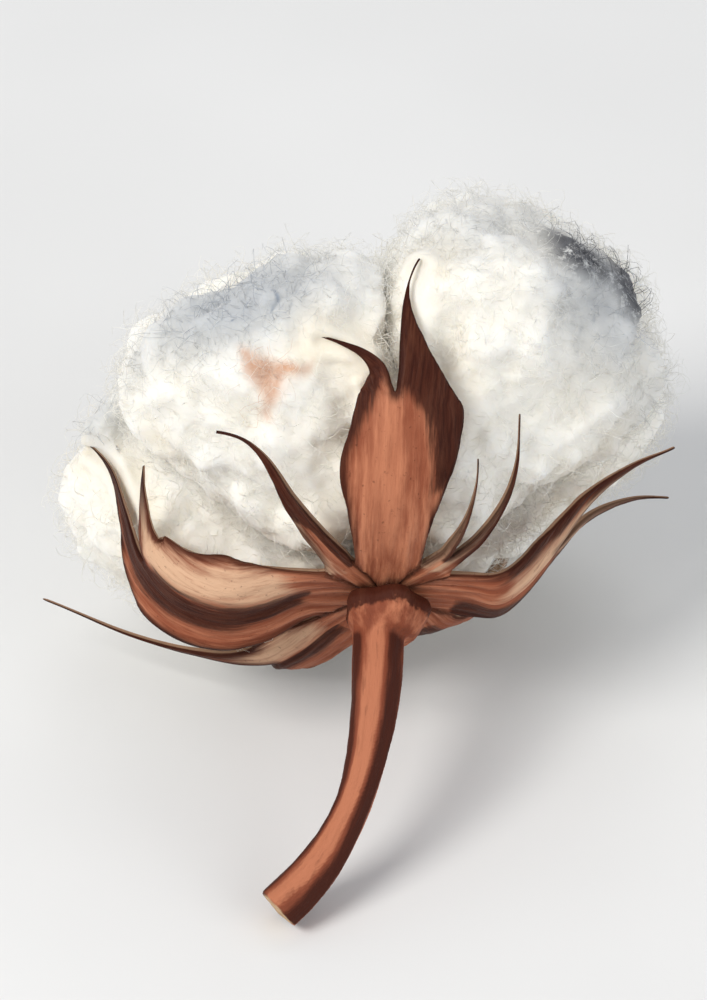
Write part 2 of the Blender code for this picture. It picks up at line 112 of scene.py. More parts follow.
VALVES = (
    Valve(
        2, -24, 27, 0.59,
        ((13, 0.6), (17.5, 3.2), (20.8, 8), (22.6, 14), (23, 21)),
        Half(4.8 * MM, 0.38, 0.9, 9.5 * MM, 0.76, -15, 23.5, 13.8, 0.75, 0.9),
        Half(6.8 * MM, 0.56, 2.0, 9.5 * MM, 1.0, 6.5, 23.2, 21.2, 0.8, 1.0),
    ),
    Valve(
        37, 27, 54, 0.12,
        ((13, 0.2), (17.5, 1.4), (20.5, 3.6), (22.5, 7.0)),
        Half(1.15 * MM, 0.08, 1.0, 9.5 * MM, 0.7, 24, 20.3, 3.6, 0.0, 0.8),
        Half(1.6 * MM, 0.05, 1.0, 9.5 * MM, 1.0, 29.5, 23, 7.2, 0.1, 0.9),
    ),
    Valve(
        90, 54, 122, 0.42,
        ((10, -1.1), (12.6, 0.9), (15.5, 5.0), (18.5, 8.6), (22.5, 11), (26.5, 12)),
        Half(3.9 * MM, 0.34, 1.2, 9.5 * MM, 1.0, 76.5, 26.7, 11.2, 0.0, 0.8),
        Half(3.9 * MM, 0.34, 1.2, 9.5 * MM, 1.0, 102, 26.5, 12.6, 0.0, 0.8),
    ),
    Valve(
        152, 122, 190, 0.45,
        ((9.8, 0.8), (13.2, 3.2), (16.4, 7), (19, 12), (21.5, 17.5)),
        Half(4.4 * MM, 0.34, 1.2, 9.5 * MM, 1.0, 141, 23.5, 17.5, 0.3, 0.7),
        Half(4.4 * MM, 0.34, 1.2, 9.5 * MM, 0.9, 166, 23, 16.5, 0.3, 0.7),
    ),
    Valve(
        -140, -170, -122, 0.36,
        ((12, -1.2), (17, -0.8), (21, 1.0), (24.5, 3.6), (27, 6.8)),
        Half(4.2 * MM, 0.30, 1.2, 9.5 * MM, 0.9, -161, 24.5, 12.5, 0.0, 0.7),
        Half(4.0 * MM, 0.24, 1.3, 9.5 * MM, 1.0, -115.5, 34.8, 7.1, 0.15, 0.9),
    ),
    Valve(
        -86, -122, -50, 0.56,
        ((11, -2.2), (14.6, -2.8), (18.6, -1.2), (21.6, 2.4), (23.2, 7.4), (24.4, 12), (26, 15)),
        Half(5.4 * MM, 0.50, 1.1, -9.0 * MM, 1.0, -92, 27.0, 15.8, 0.7, 1.0),
        Half(6.6 * MM, 0.30, 0.85, 6.0 * MM, 0.82, -72, 22.8, 9.2, 0.0, 0.8),
    ),
    Valve(
        -29, -50, -24, 0.5,
        ((13, 0.4), (18, 1.8), (21.3, 4.5), (22.2, 7.2)),
        Half(1.9 * MM, 0.08, 0.9, 9.5 * MM, 1.0, -39, 23.8, 6.2, 0.9, 0.8),
        Half(0.8 * MM, 0.10, 0.9, 9.5 * MM, 1.0, -39, 23.8, 6.2, 0.9, 0.8),
    ),
)

FRONT, NARROW_RIGHT, RIGHT, BACK_RIGHT, BACK_LEFT, LEFT, NARROW_LEFT = range(7)
# A facet is where a half of a valve, -1 or 1, has painted light or shade on its outer face: a
# shade facet is painted shade where the face turns from the light and along its folds, a light
# facet a painted highlight, and a pale facet painted light that turns lit parts to the lining's
# pale colour. Its corners are a share of the half's length and a share of its width from its
# inner edge.
Facet = namedtuple("Facet", "valve side kind corners")
FACETS = (
    Facet(FRONT, 1, "shade", ((0.3, 0.7), (0.58, 0.38), (1.2, 0.3), (1.2, 1.3), (0.3, 1.3))),
    Facet(FRONT, 1, "shade", ((0.52, 0.48), (0.7, -0.3), (1.2, -0.3), (1.2, 1.3), (0.52, 1.3))),
    Facet(FRONT, -1, "shade", ((0.42, 0.82), (0.9, -0.1), (1.2, -0.3), (1.2, 1.3), (0.42, 1.3))),
    Facet(FRONT, 1, "light", ((0.05, -0.3), (0.6, -0.3), (0.4, 0.1), (0.05, 0.3))),
    Facet(FRONT, -1, "light", ((0.05, -0.3), (0.8, -0.3), (0.6, 0.4), (0.05, 0.5))),
    Facet(NARROW_RIGHT, -1, "pale", ((-0.1, 0.4), (0.8, 0.6), (0.8, 1.3), (-0.1, 1.3))),
    Facet(NARROW_RIGHT, -1, "shade", ((0.1, -0.3), (1.2, -0.3), (1.2, 0.6), (0.1, 0.4))),
    Facet(NARROW_RIGHT, 1, "pale", ((-0.1, -0.3), (0.8, -0.3), (0.7, 0.4), (-0.1, 0.5))),
    Facet(NARROW_RIGHT, 1, "shade", ((0.1, 0.55), (1.2, 0.3), (1.2, 1.3), (0.1, 1.3))),
    Facet(RIGHT, -1, "shade", ((0.16, 0.76), (1.2, 0.3), (1.2, 1.3), (0.16, 1.3))),
    Facet(RIGHT, -1, "pale", ((0.14, 0.2), (0.5, -0.3), (0.9, -0.3), (0.8, 0.45), (0.2, 0.66))),
    Facet(RIGHT, 1, "shade", ((-0.1, 0.1), (0.5, 0.4), (0.5, 1.3), (-0.1, 1.3))),
    Facet(RIGHT, 1, "shade", ((0.45, 0.6), (1.2, 0.3), (1.2, 1.3), (0.45, 1.3))),
    Facet(RIGHT, 1, "pale", ((0.42, -0.3), (0.95, -0.3), (0.9, 0.4), (0.45, 0.55))),
    Facet(BACK_RIGHT, -1, "shade", ((0.0, -0.3), (0.9, -0.3), (0.9, 0.35), (0.0, 0.3))),
    Facet(BACK_RIGHT, 1, "shade", ((0.0, -0.3), (0.9, -0.3), (0.9, 0.35), (0.0, 0.3))),
    Facet(BACK_RIGHT, 1, "pale", ((0.1, 0.45), (0.85, 0.5), (0.85, 0.9), (0.2, 0.85))),
    Facet(BACK_LEFT, -1, "shade", ((0.0, -0.3), (0.9, -0.3), (0.9, 0.35), (0.0, 0.3))),
    Facet(BACK_LEFT, 1, "pale", ((0.05, 0.15), (0.55, 0.1), (0.55, 0.8), (0.05, 0.85))),
    Facet(BACK_LEFT, 1, "shade", ((0.58, -0.3), (1.2, -0.3), (1.2, 1.3), (0.58, 1.3))),
    Facet(LEFT, -1, "shade", ((0.0, -0.3), (1.2, -0.3), (1.2, 1.0), (0.7, 0.66), (0.05, 0.55))),
    Facet(LEFT, 1, "shade", ((0.0, -0.3), (0.62, -0.3), (0.5, 0.2), (0.0, 0.2))),
    Facet(LEFT, 1, "pale", ((0.05, 0.3), (0.6, 0.2), (1.0, 0.3), (0.9, 0.8), (0.1, 0.86))),
    Facet(NARROW_LEFT, -1, "pale", ((-0.1, 0.4), (0.5, 0.55), (0.4, 1.3), (-0.1, 1.3))),
    Facet(NARROW_LEFT, -1, "shade", ((0.3, -0.3), (1.2, -0.3), (1.2, 1.3), (0.5, 1.3))),
    Facet(NARROW_LEFT, 1, "shade", ((0.0, 0.1), (1.2, -0.3), (1.2, 1.3), (0.0, 1.3))),
)
# How softly a facet begins, as a share of its half's width and at most as a length.
FACET_SOFTNESS = 0.35
FACET_SOFTNESS_MM = 1.1
# How far the dark rims fade where they run on over the cup as the seams between the valves.
SEAM_FADE = 0.5 * MM

# The stalk's middle line, in the boll's own frame.
STALK_LENGTH_ALONG = 28.5 * MM
STALK_SIDE = -9.6 * MM
STALK_END_LIFT = 2.07 * MM
STALK_TOP = Vector((-0.7, 0, -2.4)) * MM
STALK_LINE_STEPS = 120
# The knob is dark towards its top: its dried calyx, with painted shade in the recess under the bur.
CALYX_TOP = -0.9 * MM
KNOB_BOTTOM = -4.6 * MM
# The bark's painted light and painted shade: bands counted round the stalk from the side that the camera
# sees, light down the middle of that side and dark beside it.
BAND_COUNT = 3
SEEN_FROM_BELOW = math.radians(90 - AXIS_RISE_DEG - CAMERA_RISE_DEG)
TOWARDS_CAMERA = np.array((0, -math.cos(SEEN_FROM_BELOW), -math.sin(SEEN_FROM_BELOW)))

Patch = namedtuple("Patch", "attribute node across up wide high turn soft strength")
# Patches of colour on the lint, each an oval seen from the camera's side: its middle and its
# half sizes in millimetres from the boll's base, its turn in degrees, how soft its rim is.
# The grey patches are painted shade near the locks' upper and outer edges; the dark ones
# are dark specks.
PATCHES = (
    Patch("grey", "lock_front_left", -13.0, 25.5, 9.0, 3.6, 20, 0.7, 1.0),
    Patch("grey", "lock_front_left", -2.5, 29.0, 4.5, 3.0, 10, 1.0, 0.4),
    Patch("grey", "lock_front_left", -24.0, 19.5, 5.0, 1.8, 40, 0.8, 0.55),
    Patch("grey", "lock_front_right", 20.5, 26.0, 6.5, 5.5, -35, 0.8, 0.9),
    Patch("grey", "lock_front_right", 23.5, 15.5, 3.5, 7.0, 0, 1.0, 0.4),
    Patch("grey", "lock_front_right", 9.0, 32.5, 9.0, 3.2, 4, 1.0, 0.5),
    Patch("grey", "lock_left", -28.0, 16.5, 4.5, 3.0, -10, 0.9, 0.8),
    Patch("dark", "lock_front_right", 17.8, 30.4, 4.2, 2.3, -24, 0.6, 1.0),
    Patch("dark", "lock_front_right", 22.6, 26.8, 2.0, 4.6, 36, 0.6, 1.0),
)
# The tan stain is a rounded triangle: its corners, in the same millimetres.
STAIN_CORNERS = ((-12.8, 21.0), (-6.8, 20.0), (-10.4, 15.2))
STAIN_ROUNDING = 0.8
STAIN_WAVE = 0.9


def boll_settings(context):
    return context.scene.cotton_boll


class LintSettings(bpy.types.PropertyGroup):
    """Sizes and colours of the five locks of lint"""

    grain: FloatProperty(
        name="Grain", description="Size of the faces of the lint's surface",
        default=0.38 * MM, min=0.1 * MM, unit="LENGTH",
    )
    tuft_size: FloatProperty(
        name="Tuft Size", description="Width of one tuft of lint",
        default=5.0 * MM, min=0.5 * MM, unit="LENGTH",
    )
    tuft_height: FloatProperty(
        name="Tuft Height", description="How far a tuft stands out",
        default=1.25 * MM, min=0.0, unit="LENGTH",
    )
    fluff_size: FloatProperty(
        name="Fluff Size", description="Width of the finest waves of the lint",
        default=2.0 * MM, min=0.2 * MM, unit="LENGTH",
    )
    fluff_height: FloatProperty(
        name="Fluff Height", description="Height of the finest waves of the lint",
        default=0.42 * MM, min=0.0, unit="LENGTH",
    )
    swell: FloatProperty(
        name="Swell", description="How far the lint swells to close the seams between locks",
        default=0.3 * MM, min=0.0, unit="LENGTH",
    )
    white: FloatVectorProperty(
        name="White", description="Colour of clean lint", subtype="COLOR", size=3,
        default=(0.90, 0.885, 0.83), min=0.0, max=1.0,
    )
    # Cream is also the colour of the painted shade in the creases between tufts.
    cream: FloatVectorProperty(
        name="Cream", description="Colour of lint near the bur", subtype="COLOR", size=3,
        default=(0.87, 0.77, 0.58), min=0.0, max=1.0,
    )
    # Grey is the colour of the painted shade on the locks' upper and outer edges, and of a faint random
    # mottle.
    grey: FloatVectorProperty(
        name="Grey", description="Colour of shadowed lint", subtype="COLOR", size=3,
        default=(0.22, 0.26, 0.32), min=0.0, max=1.0,
    )
    dark: FloatVectorProperty(
        name="Dark", description="Colour of spotted lint", subtype="COLOR", size=3,
        default=(0.018, 0.02, 0.03), min=0.0, max=1.0,
    )
    tan: FloatVectorProperty(
        name="Tan", description="Colour of stained lint", subtype="COLOR", size=3,
        default=(0.62, 0.36, 0.23), min=0.0, max=1.0,
    )


class FibreSettings(bpy.types.PropertyGroup):
    """Sizes of the fibres that stand out of the lint"""

    density: FloatProperty(
        name="Fibres per Square Centimetre", description="How many fibres leave the lint",
        default=215.0, min=0.0,
    )
    length: FloatProperty(
        name="Length", description="Length of a fibre from end to end",
        default=2.2 * MM, min=0.5 * MM, unit="LENGTH",
    )
    thickness: FloatProperty(
        name="Thickness", description="Thickness of a strand of fibres",
        default=0.05 * MM, min=0.01 * MM, unit="LENGTH",
    )
    lift_deg: FloatProperty(
        name="Lift", description="How steeply a fibre can stand, in degrees",
        default=24.0, min=0.0, max=90.0,
    )
    steps: IntProperty(
        name="Steps", description="How many points a fibre's line has", default=4, min=2,
    )
    seed: IntProperty(name="Seed", description="Start of the fibres' random draw", default=5)


class BurSettings(bpy.types.PropertyGroup):
    """Sizes and colours of the dry bur"""

    vein_height: FloatProperty(
        name="Vein Height", description="Height of the veins along each valve",
        default=0.3 * MM, min=0.0, unit="LENGTH",
    )
    vein_size: FloatProperty(
        name="Vein Size", description="Width of one vein",
        default=0.9 * MM, min=0.1 * MM, unit="LENGTH",
    )
    # Light is also the colour of the painted highlights in the light facets.
    light: FloatVectorProperty(
        name="Light", description="Colour of the outer face's light streaks", subtype="COLOR",
        size=3, default=(0.50, 0.19, 0.10), min=0.0, max=1.0,
    )
    brown: FloatVectorProperty(
        name="Brown", description="Colour of the outer face's base", subtype="COLOR",
        size=3, default=(0.25, 0.07, 0.034), min=0.0, max=1.0,
    )
    # Rim is also the colour of the painted shade in the shade facets.
    rim: FloatVectorProperty(
        name="Rim", description="Colour of the dry edges and points", subtype="COLOR",
        size=3, default=(0.036, 0.007, 0.003), min=0.0, max=1.0,
    )
    # Lining is also painted on the outer face as painted light in the pale facets.
    lining: FloatVectorProperty(
        name="Lining", description="Colour of the smooth inner face", subtype="COLOR",
        size=3, default=(0.69, 0.45, 0.29), min=0.0, max=1.0,
    )


class StalkSettings(bpy.types.PropertyGroup):
    """Sizes and colours of the stalk"""

    grain: FloatProperty(
        name="Grain", description="Size of the faces of the stalk's surface",
        default=0.2 * MM, min=0.1 * MM, unit="LENGTH",
    )
    ridge_height: FloatProperty(
        name="Ridge Height", description="Height of the ridges along the stalk",
        default=0.2 * MM, min=0.0, unit="LENGTH",
    )
    ridge_size: FloatProperty(
        name="Ridge Size", description="Width of one ridge",
        default=1.1 * MM, min=0.1 * MM, unit="LENGTH",
    )
    # Light is the colour of the stalk's painted light, streaked, in the bands down its middle.
    light: FloatVectorProperty(
        name="Light", description="Colour of the bark's light streaks", subtype="COLOR",
        size=3, default=(0.46, 0.165, 0.085), min=0.0, max=1.0,
    )
    bark: FloatVectorProperty(
        name="Bark", description="Colour of the bark", subtype="COLOR",
        size=3, default=(0.22, 0.058, 0.028), min=0.0, max=1.0,
    )
    # Calyx is also the colour of the painted shade in the dark bands and under the bur.
    calyx: FloatVectorProperty(
        name="Calyx", description="Colour of the dried calyx and of the bark's specks",
        subtype="COLOR", size=3, default=(0.045, 0.009, 0.0045), min=0.0, max=1.0,
    )
    wood: FloatVectorProperty(
        name="Wood", description="Colour of the wood at the picked end", subtype="COLOR",
        size=3, default=(0.66, 0.47, 0.27), min=0.0, max=1.0,
    )


class BollSettings(bpy.types.PropertyGroup):
    """All that can be set on the cotton boll"""

    lint: PointerProperty(type=LintSettings)
    fibres: PointerProperty(type=FibreSettings)
    bur: PointerProperty(type=BurSettings)
    stalk: PointerProperty(type=StalkSettings)


# Shared helpers.


def smoothstep(low, high, value):
    t = np.clip((value - low) / (high - low), 0.0, 1.0)
    return t * t * (3 - 2 * t)


def mix(a, b, share):
    return a + (b - a) * share


def add_node(tree, kind, inputs=None, **settings):
    """A new node, with each of its inputs given a value or the output it is linked to."""
    node = tree.nodes.new(kind)
    for name, value in settings.items():
        setattr(node, name, value)
    for key, value in (inputs or {}).items():
        if isinstance(value, bpy.types.Node):
            value = value.outputs[0]
        if isinstance(value, bpy.types.NodeSocket):
            tree.links.new(value, node.inputs[key])
        elif hasattr(value, "__len__") and len(value) == 3 and len(node.inputs[key].default_value) == 4:
            node.inputs[key].default_value = (*value, 1)
        else:
            node.inputs[key].default_value = value
    return node


def maths(tree, operation, a, b=0.0, clamp=False):
    return add_node(tree, "ShaderNodeMath", {0: a, 1: b}, operation=operation, use_clamp=clamp)


def blend_colour(tree, share, a, b, way="MIX"):
    node = add_node(
        tree, "ShaderNodeMix", {0: share, 6: a, 7: b}, data_type="RGBA", blend_type=way
    )
    return node.outputs[2]


def ranged(tree, value, low, high, to_low=0.0, to_high=1.0):
    return add_node(
        tree, "ShaderNodeMapRange",
        {"Value": value, "From Min": low, "From Max": high, "To Min": to_low, "To Max": to_high},
        interpolation_type="SMOOTHSTEP",
    )


def noise_at(tree, vector, size, detail=2.0, roughness=0.5, distortion=0.0, kind="FBM"):
    """A noise whose waves are about this size, in metres."""
    return add_node(
        tree, "ShaderNodeTexNoise",
        {
            "Vector": vector, "Scale": 1 / size, "Detail": detail,
            "Roughness": roughness, "Distortion": distortion,
        },
        noise_type=kind,
    )


def attribute_of(tree, name):
    return add_node(tree, "ShaderNodeAttribute", attribute_name=name, attribute_type="GEOMETRY")


def new_material(name):
    material = bpy.data.materials.new(name)
    material.use_nodes = True
    tree = material.node_tree
    return material, tree, tree.nodes["Principled BSDF"]


def add_piece(name, mesh, material, slot, *nodes):
    """A finished piece, which rides on the boll and takes the place of its solids."""
    mesh.name = name
    piece = bpy.data.objects.new(name, mesh)
    bpy.context.scene.collection.objects.link(piece)
    mesh.materials.clear()
    mesh.materials.append(material)
    mesh.shade_smooth()
    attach(piece, BODY)
    if nodes:
        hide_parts(*nodes)
    return piece


def workpiece(mesh):
    obj = bpy.data.objects.new("workpiece", mesh)
    bpy.context.scene.collection.objects.link(obj)
    return obj


def finished_mesh(obj):
    """The object's evaluated mesh. The object itself is removed."""
    graph = bpy.context.evaluated_depsgraph_get()
    graph.update()
    mesh = bpy.data.meshes.new_from_object(obj.evaluated_get(graph))
    bpy.data.objects.remove(obj)
    return mesh


def merged_solid(node):
    """A copy of a solid's mesh with its loose triangles joined."""
    mesh = bpy.data.meshes.new("solid")
    whole = bmesh.new()
    whole.from_mesh(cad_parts[node].data)
    bmesh.ops.remove_doubles(whole, verts=whole.verts, dist=0.002 * MM)
    whole.to_mesh(mesh)
    whole.free()
    return mesh


def points_of(mesh):
    flat = np.zeros(len(mesh.vertices) * 3, np.float32)
    mesh.vertices.foreach_get("co", flat)
    return flat.reshape(-1, 3).astype(float)


def move_points(mesh, points):
    mesh.vertices.foreach_set("co", points.astype(np.float32).ravel())
    mesh.update()


def store(mesh, name, values):
    kind = "FLOAT_VECTOR" if np.ndim(values) == 2 else "FLOAT"
    layer = mesh.attributes.get(name) or mesh.attributes.new(name, kind, "POINT")
    layer.data.foreach_set("vector" if kind == "FLOAT_VECTOR" else "value",
                           np.asarray(values, np.float32).ravel())


def stored(mesh, name):
    layer = mesh.attributes[name]
    values = np.zeros(len(mesh.vertices), np.float32)
    layer.data.foreach_get("value", values)
    return values.astype(float)


def remeshed(mesh, grain, smoothing):
    """The same form with even small faces, its facets smoothed away."""
    obj = workpiece(mesh)
    even = obj.modifiers.new("even", "REMESH")
    even.mode = "VOXEL"
    even.voxel_size = grain
    soft = obj.modifiers.new("soft", "SMOOTH")
    soft.factor = 0.5
    soft.iterations = smoothing
    return finished_mesh(obj)


def tree_of_mesh(mesh):
    triangles = [tuple(face.vertices) for face in mesh.polygons]
    return BVHTree.FromPolygons([vert.co for vert in mesh.vertices], triangles)


def distance_to(trees, points, most):
    """Each point's distance to the nearest of some surfaces, at most this much."""
    found = np.full(len(points), most)
    for i, point in enumerate(points):
        for tree in trees:
            hit = tree.find_nearest(point, found[i])
            if hit[0] is not None:
                found[i] = min(found[i], hit[3])
    return found


# Geometry Nodes.


def new_node_group(name, sockets):
    """A Geometry Nodes tree with a mesh going through it and these named inputs."""
    tree = bpy.data.node_groups.new(name, "GeometryNodeTree")
    tree.interface.new_socket(name="Mesh", in_out="INPUT", socket_type="NodeSocketGeometry")
    tree.interface.new_socket(name="Mesh", in_out="OUTPUT", socket_type="NodeSocketGeometry")
    for socket_name, kind, default in sockets:
        socket = tree.interface.new_socket(
            name=socket_name, in_out="INPUT", socket_type="NodeSocket" + kind
        )
        if default is not None:
            socket.default_value = default
    return tree, tree.nodes.new("NodeGroupInput").outputs, tree.nodes.new("NodeGroupOutput").inputs


def run_tree(mesh, tree, **values):
    """The mesh after the tree, whose inputs are set by name with _ for a space."""
    obj = workpiece(mesh)
    modifier = obj.modifiers.new(tree.name, "NODES")
    modifier.node_group = tree
    sockets = {
        item.name: item.identifier
        for item in tree.interface.items_tree
        if item.item_type == "SOCKET" and item.in_out == "INPUT"
    }
    for name, value in values.items():
        modifier[sockets[name.replace("_", " ")]] = value
    return finished_mesh(obj)


def relief_tree():
    """Moves a surface along its normal: broad rounded tufts, and finer waves on them."""
    tree, given, out = new_node_group(
        "surface_relief",
        (
            ("Tuft Size", "Float", 0.004), ("Tuft Height", "Float", 0.0005),
            ("Wave Size", "Float", 0.001), ("Wave Height", "Float", 0.0001),
            ("Warp", "Float", 0.0008), ("Swell", "Float", 0.0), ("Shift", "Float", 0.0),
            ("Material", "Material", None),
        ),
    )
    grain = add_node(
        tree, "GeometryNodeInputNamedAttribute", {"Name": "grain"}, data_type="FLOAT_VECTOR"
    )
    free = add_node(tree, "GeometryNodeInputNamedAttribute", {"Name": "free"}, data_type="FLOAT")
    shift = add_node(tree, "ShaderNodeCombineXYZ", {"X": given["Shift"]})
    place = add_node(tree, "ShaderNodeVectorMath", {0: grain, 1: shift}, operation="ADD")
    swirl = add_node(
        tree, "ShaderNodeTexNoise",
        {"Vector": place, "Scale": maths(tree, "DIVIDE", 0.6, given["Tuft Size"]), "Detail": 3.0},
    )
    centred = add_node(
        tree, "ShaderNodeVectorMath", {0: swirl.outputs["Color"], 1: (0.5, 0.5, 0.5)},
        operation="SUBTRACT",
    )
    bent = add_node(
        tree, "ShaderNodeVectorMath",
        {0: centred, "Scale": maths(tree, "MULTIPLY", given["Warp"], 4.0)}, operation="SCALE",
    )
    place_bent = add_node(tree, "ShaderNodeVectorMath", {0: place, 1: bent}, operation="ADD")
    tufts = add_node(
        tree, "ShaderNodeTexVoronoi",
        {
            "Vector": place_bent, "Scale": maths(tree, "DIVIDE", 1.0, given["Tuft Size"]),
            "Smoothness": 0.35, "Detail": 1.0, "Roughness": 0.35, "Lacunarity": 2.2,
        },
        feature="SMOOTH_F1",
    )
    waves = add_node(
        tree, "ShaderNodeTexNoise",
        {
            "Vector": place_bent, "Scale": maths(tree, "DIVIDE", 1.0, given["Wave Size"]),
            "Detail": 3.0, "Roughness": 0.55,
        },
    )
    tuft = maths(tree, "MULTIPLY", maths(tree, "SUBTRACT", 0.4, tufts.outputs["Distance"]),
                 maths(tree, "MULTIPLY", given["Tuft Height"], 1.6))
    wave = maths(tree, "MULTIPLY", maths(tree, "SUBTRACT", waves.outputs[0], 0.5),
                 maths(tree, "MULTIPLY", given["Wave Height"], 2.0))
    rise = maths(tree, "MULTIPLY", maths(tree, "ADD", tuft, wave), free)
    rise = maths(tree, "ADD", rise, given["Swell"])
    offset = add_node(
        tree, "ShaderNodeVectorMath",
        {0: add_node(tree, "GeometryNodeInputNormal"), "Scale": rise}, operation="SCALE",
    )
    moved = add_node(
        tree, "GeometryNodeSetPosition", {"Geometry": given["Mesh"], "Offset": offset}
    )
    # Stores how far each point is from its tuft's middle; the lint paints shade with it in the creases
    # between tufts.
    kept = add_node(
        tree, "GeometryNodeStoreNamedAttribute",
        {"Geometry": moved, "Name": "crease_shade", "Value": tufts.outputs["Distance"]},
        data_type="FLOAT", domain="POINT",
    )
    real = add_node(tree, "GeometryNodeRealizeInstances", {"Geometry": kept})
    made = add_node(
        tree, "GeometryNodeSetMaterial", {"Geometry": real, "Material": given["Material"]}
    )
    tree.links.new(made.outputs[0], out["Mesh"])
    return tree


# The curls that fibres are made from, each one unit long: the two handles of its curve.
FIBRE_CURLS = (
    ((0.10, 0.35, 0.55), (0.75, -0.45, 0.50), (1.0, 0.05, 0.06)),
    ((0.30, -0.30, 0.35), (0.60, 0.55, 0.20), (1.0, -0.15, 0.25)),
    ((0.05, 0.10, 0.75), (1.05, 0.15, 0.60), (0.75, -0.25, 0.10)),
    ((0.40, 0.45, 0.10), (0.55, -0.60, 0.35), (0.95, 0.30, 0.02)),
    ((0.20, -0.15, 0.45), (0.90, -0.35, 0.85), (0.60, 0.30, 0.55)),
    ((0.35, 0.05, 0.15), (0.65, 0.25, 0.30), (1.0, -0.05, 0.10)),
)
FIBRE_SIDES = 3


def fibre_tree():
    """Scatters curled fibres over the lint: more where nothing lies against it."""
    tree, given, out = new_node_group(
        "loose_fibres",
        (
            ("Density", "Float", 1.0), ("Length", "Float", 0.003), ("Thickness", "Float", 0.00005),
            ("Lift", "Float", 0.5), ("Steps", "Int", 4), ("Floor Gap", "Float", 0.00005),
            ("Seed", "Int", 0),
            ("Material", "Material", None),
        ),
    )
    loose = add_node(tree, "GeometryNodeInputNamedAttribute", {"Name": "loose"}, data_type="FLOAT")
    points = add_node(
        tree, "GeometryNodeDistributePointsOnFaces",
        {
            "Mesh": given["Mesh"], "Seed": given["Seed"],
            "Density": maths(tree, "MULTIPLY", given["Density"], loose),
        },
    )
    thickness = maths(tree, "DIVIDE", given["Thickness"], given["Length"])
    ring = add_node(
        tree, "GeometryNodeCurvePrimitiveCircle",
        {"Resolution": FIBRE_SIDES, "Radius": maths(tree, "MULTIPLY", thickness, 0.5)},
    )
    place = add_node(tree, "GeometryNodeSplineParameter")
    taper = maths(tree, "SUBTRACT", 1.0, maths(tree, "MULTIPLY", place, 0.6))
    curls = tree.nodes.new("GeometryNodeJoinGeometry")
    for first, second, end in FIBRE_CURLS:
        curl = add_node(
            tree, "GeometryNodeCurvePrimitiveBezierSegment",
            {
                "Resolution": given["Steps"], "Start": (0, 0, -0.02), "Start Handle": first,
                "End Handle": second, "End": end,
            },
        )
        strand = add_node(
            tree, "GeometryNodeCurveToMesh",
            {"Curve": curl, "Profile Curve": ring, "Scale": taper, "Fill Caps": True},
        )
        alone = add_node(tree, "GeometryNodeGeometryToInstance", {"Geometry": strand})
        tree.links.new(alone.outputs[0], curls.inputs[0])
    pick = add_node(
        tree, "FunctionNodeRandomValue",
        {4: 0, 5: len(FIBRE_CURLS) - 1, "Seed": given["Seed"]}, data_type="INT",
    )
    size = add_node(
        tree, "FunctionNodeRandomValue", {2: 0.45, 3: 1.35, "Seed": maths(tree, "ADD", given["Seed"], 1)}
    )
    planted = add_node(
        tree, "GeometryNodeInstanceOnPoints",
        {
            "Points": points.outputs["Points"], "Instance": curls, "Pick Instance": True,
            "Instance Index": pick.outputs[2], "Rotation": points.outputs["Rotation"],
            "Scale": maths(tree, "MULTIPLY", size.outputs[1], given["Length"]),
        },
    )
    tilt = add_node(
        tree, "FunctionNodeRandomValue",
        {
            0: (0, 0, 0), 1: (1, 1, 2 * math.pi),
            "Seed": maths(tree, "ADD", given["Seed"], 2),
        },
        data_type="FLOAT_VECTOR",
    )
    parts = add_node(tree, "ShaderNodeSeparateXYZ", {0: tilt.outputs[0]})
    lean = maths(
        tree, "MULTIPLY", maths(tree, "SUBTRACT", parts.outputs[1], 0.72), given["Lift"]
    )
    roll = maths(tree, "MULTIPLY", maths(tree, "SUBTRACT", parts.outputs[0], 0.5), 1.6)
    turn = add_node(tree, "ShaderNodeCombineXYZ", {0: roll, 1: lean, 2: parts.outputs[2]})
    turned = add_node(
        tree, "GeometryNodeRotateInstances",
        {"Instances": planted, "Rotation": turn, "Local Space": True},
    )
    real = add_node(tree, "GeometryNodeRealizeInstances", {"Geometry": turned})
    where = add_node(tree, "ShaderNodeSeparateXYZ", {0: add_node(tree, "GeometryNodeInputPosition")})
    lifted = add_node(
        tree, "ShaderNodeCombineXYZ",
        {
            0: where.outputs[0], 1: where.outputs[1],
            2: maths(tree, "MAXIMUM", where.outputs[2], given["Floor Gap"]),
        },
    )
    clear = add_node(tree, "GeometryNodeSetPosition", {"Geometry": real, "Position": lifted})
    made = add_node(
        tree, "GeometryNodeSetMaterial", {"Geometry": clear, "Material": given["Material"]}
    )
    tree.links.new(made.outputs[0], out["Mesh"])
    return tree


# Lint.


def seen_place(points):
    """Points as the camera sees them: across, up and nearer than the base, in millimetres."""
    rise = math.radians(CAMERA_RISE_DEG)
    x, y, z = (points - np.array(BOLL_BASE)).T / MM
    up = y * math.sin(rise) + z * math.cos(rise)
    return x, up, z * math.sin(rise) - y * math.cos(rise)


def facing_camera(mesh):
    """1 where a surface faces the camera's side and 0 where it faces away."""
    rise = math.radians(CAMERA_RISE_DEG)
    normals = np.array([vert.normal for vert in mesh.vertices])
    facing = normals @ np.array((0, -math.cos(rise), math.sin(rise)))
    return smoothstep(-0.15, 0.15, facing)


def oval(across, up, nearer, facing, patch):
    """A patch of colour on the camera's side, which reaches no deeper than it is wide."""
    a = math.radians(patch.turn)
    x, y = across - patch.across, up - patch.up
    along = (x * math.cos(a) + y * math.sin(a)) / patch.wide
    aside = (y * math.cos(a) - x * math.sin(a)) / patch.high
    mask = 1 - smoothstep(1 - patch.soft, 1 + patch.soft, np.hypot(along, aside))
    mask *= facing * patch.strength
    behind = nearer[mask > 0.5 * mask.max()].max() - nearer
    reach = (patch.wide + patch.high) / 2
    return mask * (1 - smoothstep(1.1 * reach, 2.0 * reach, behind))


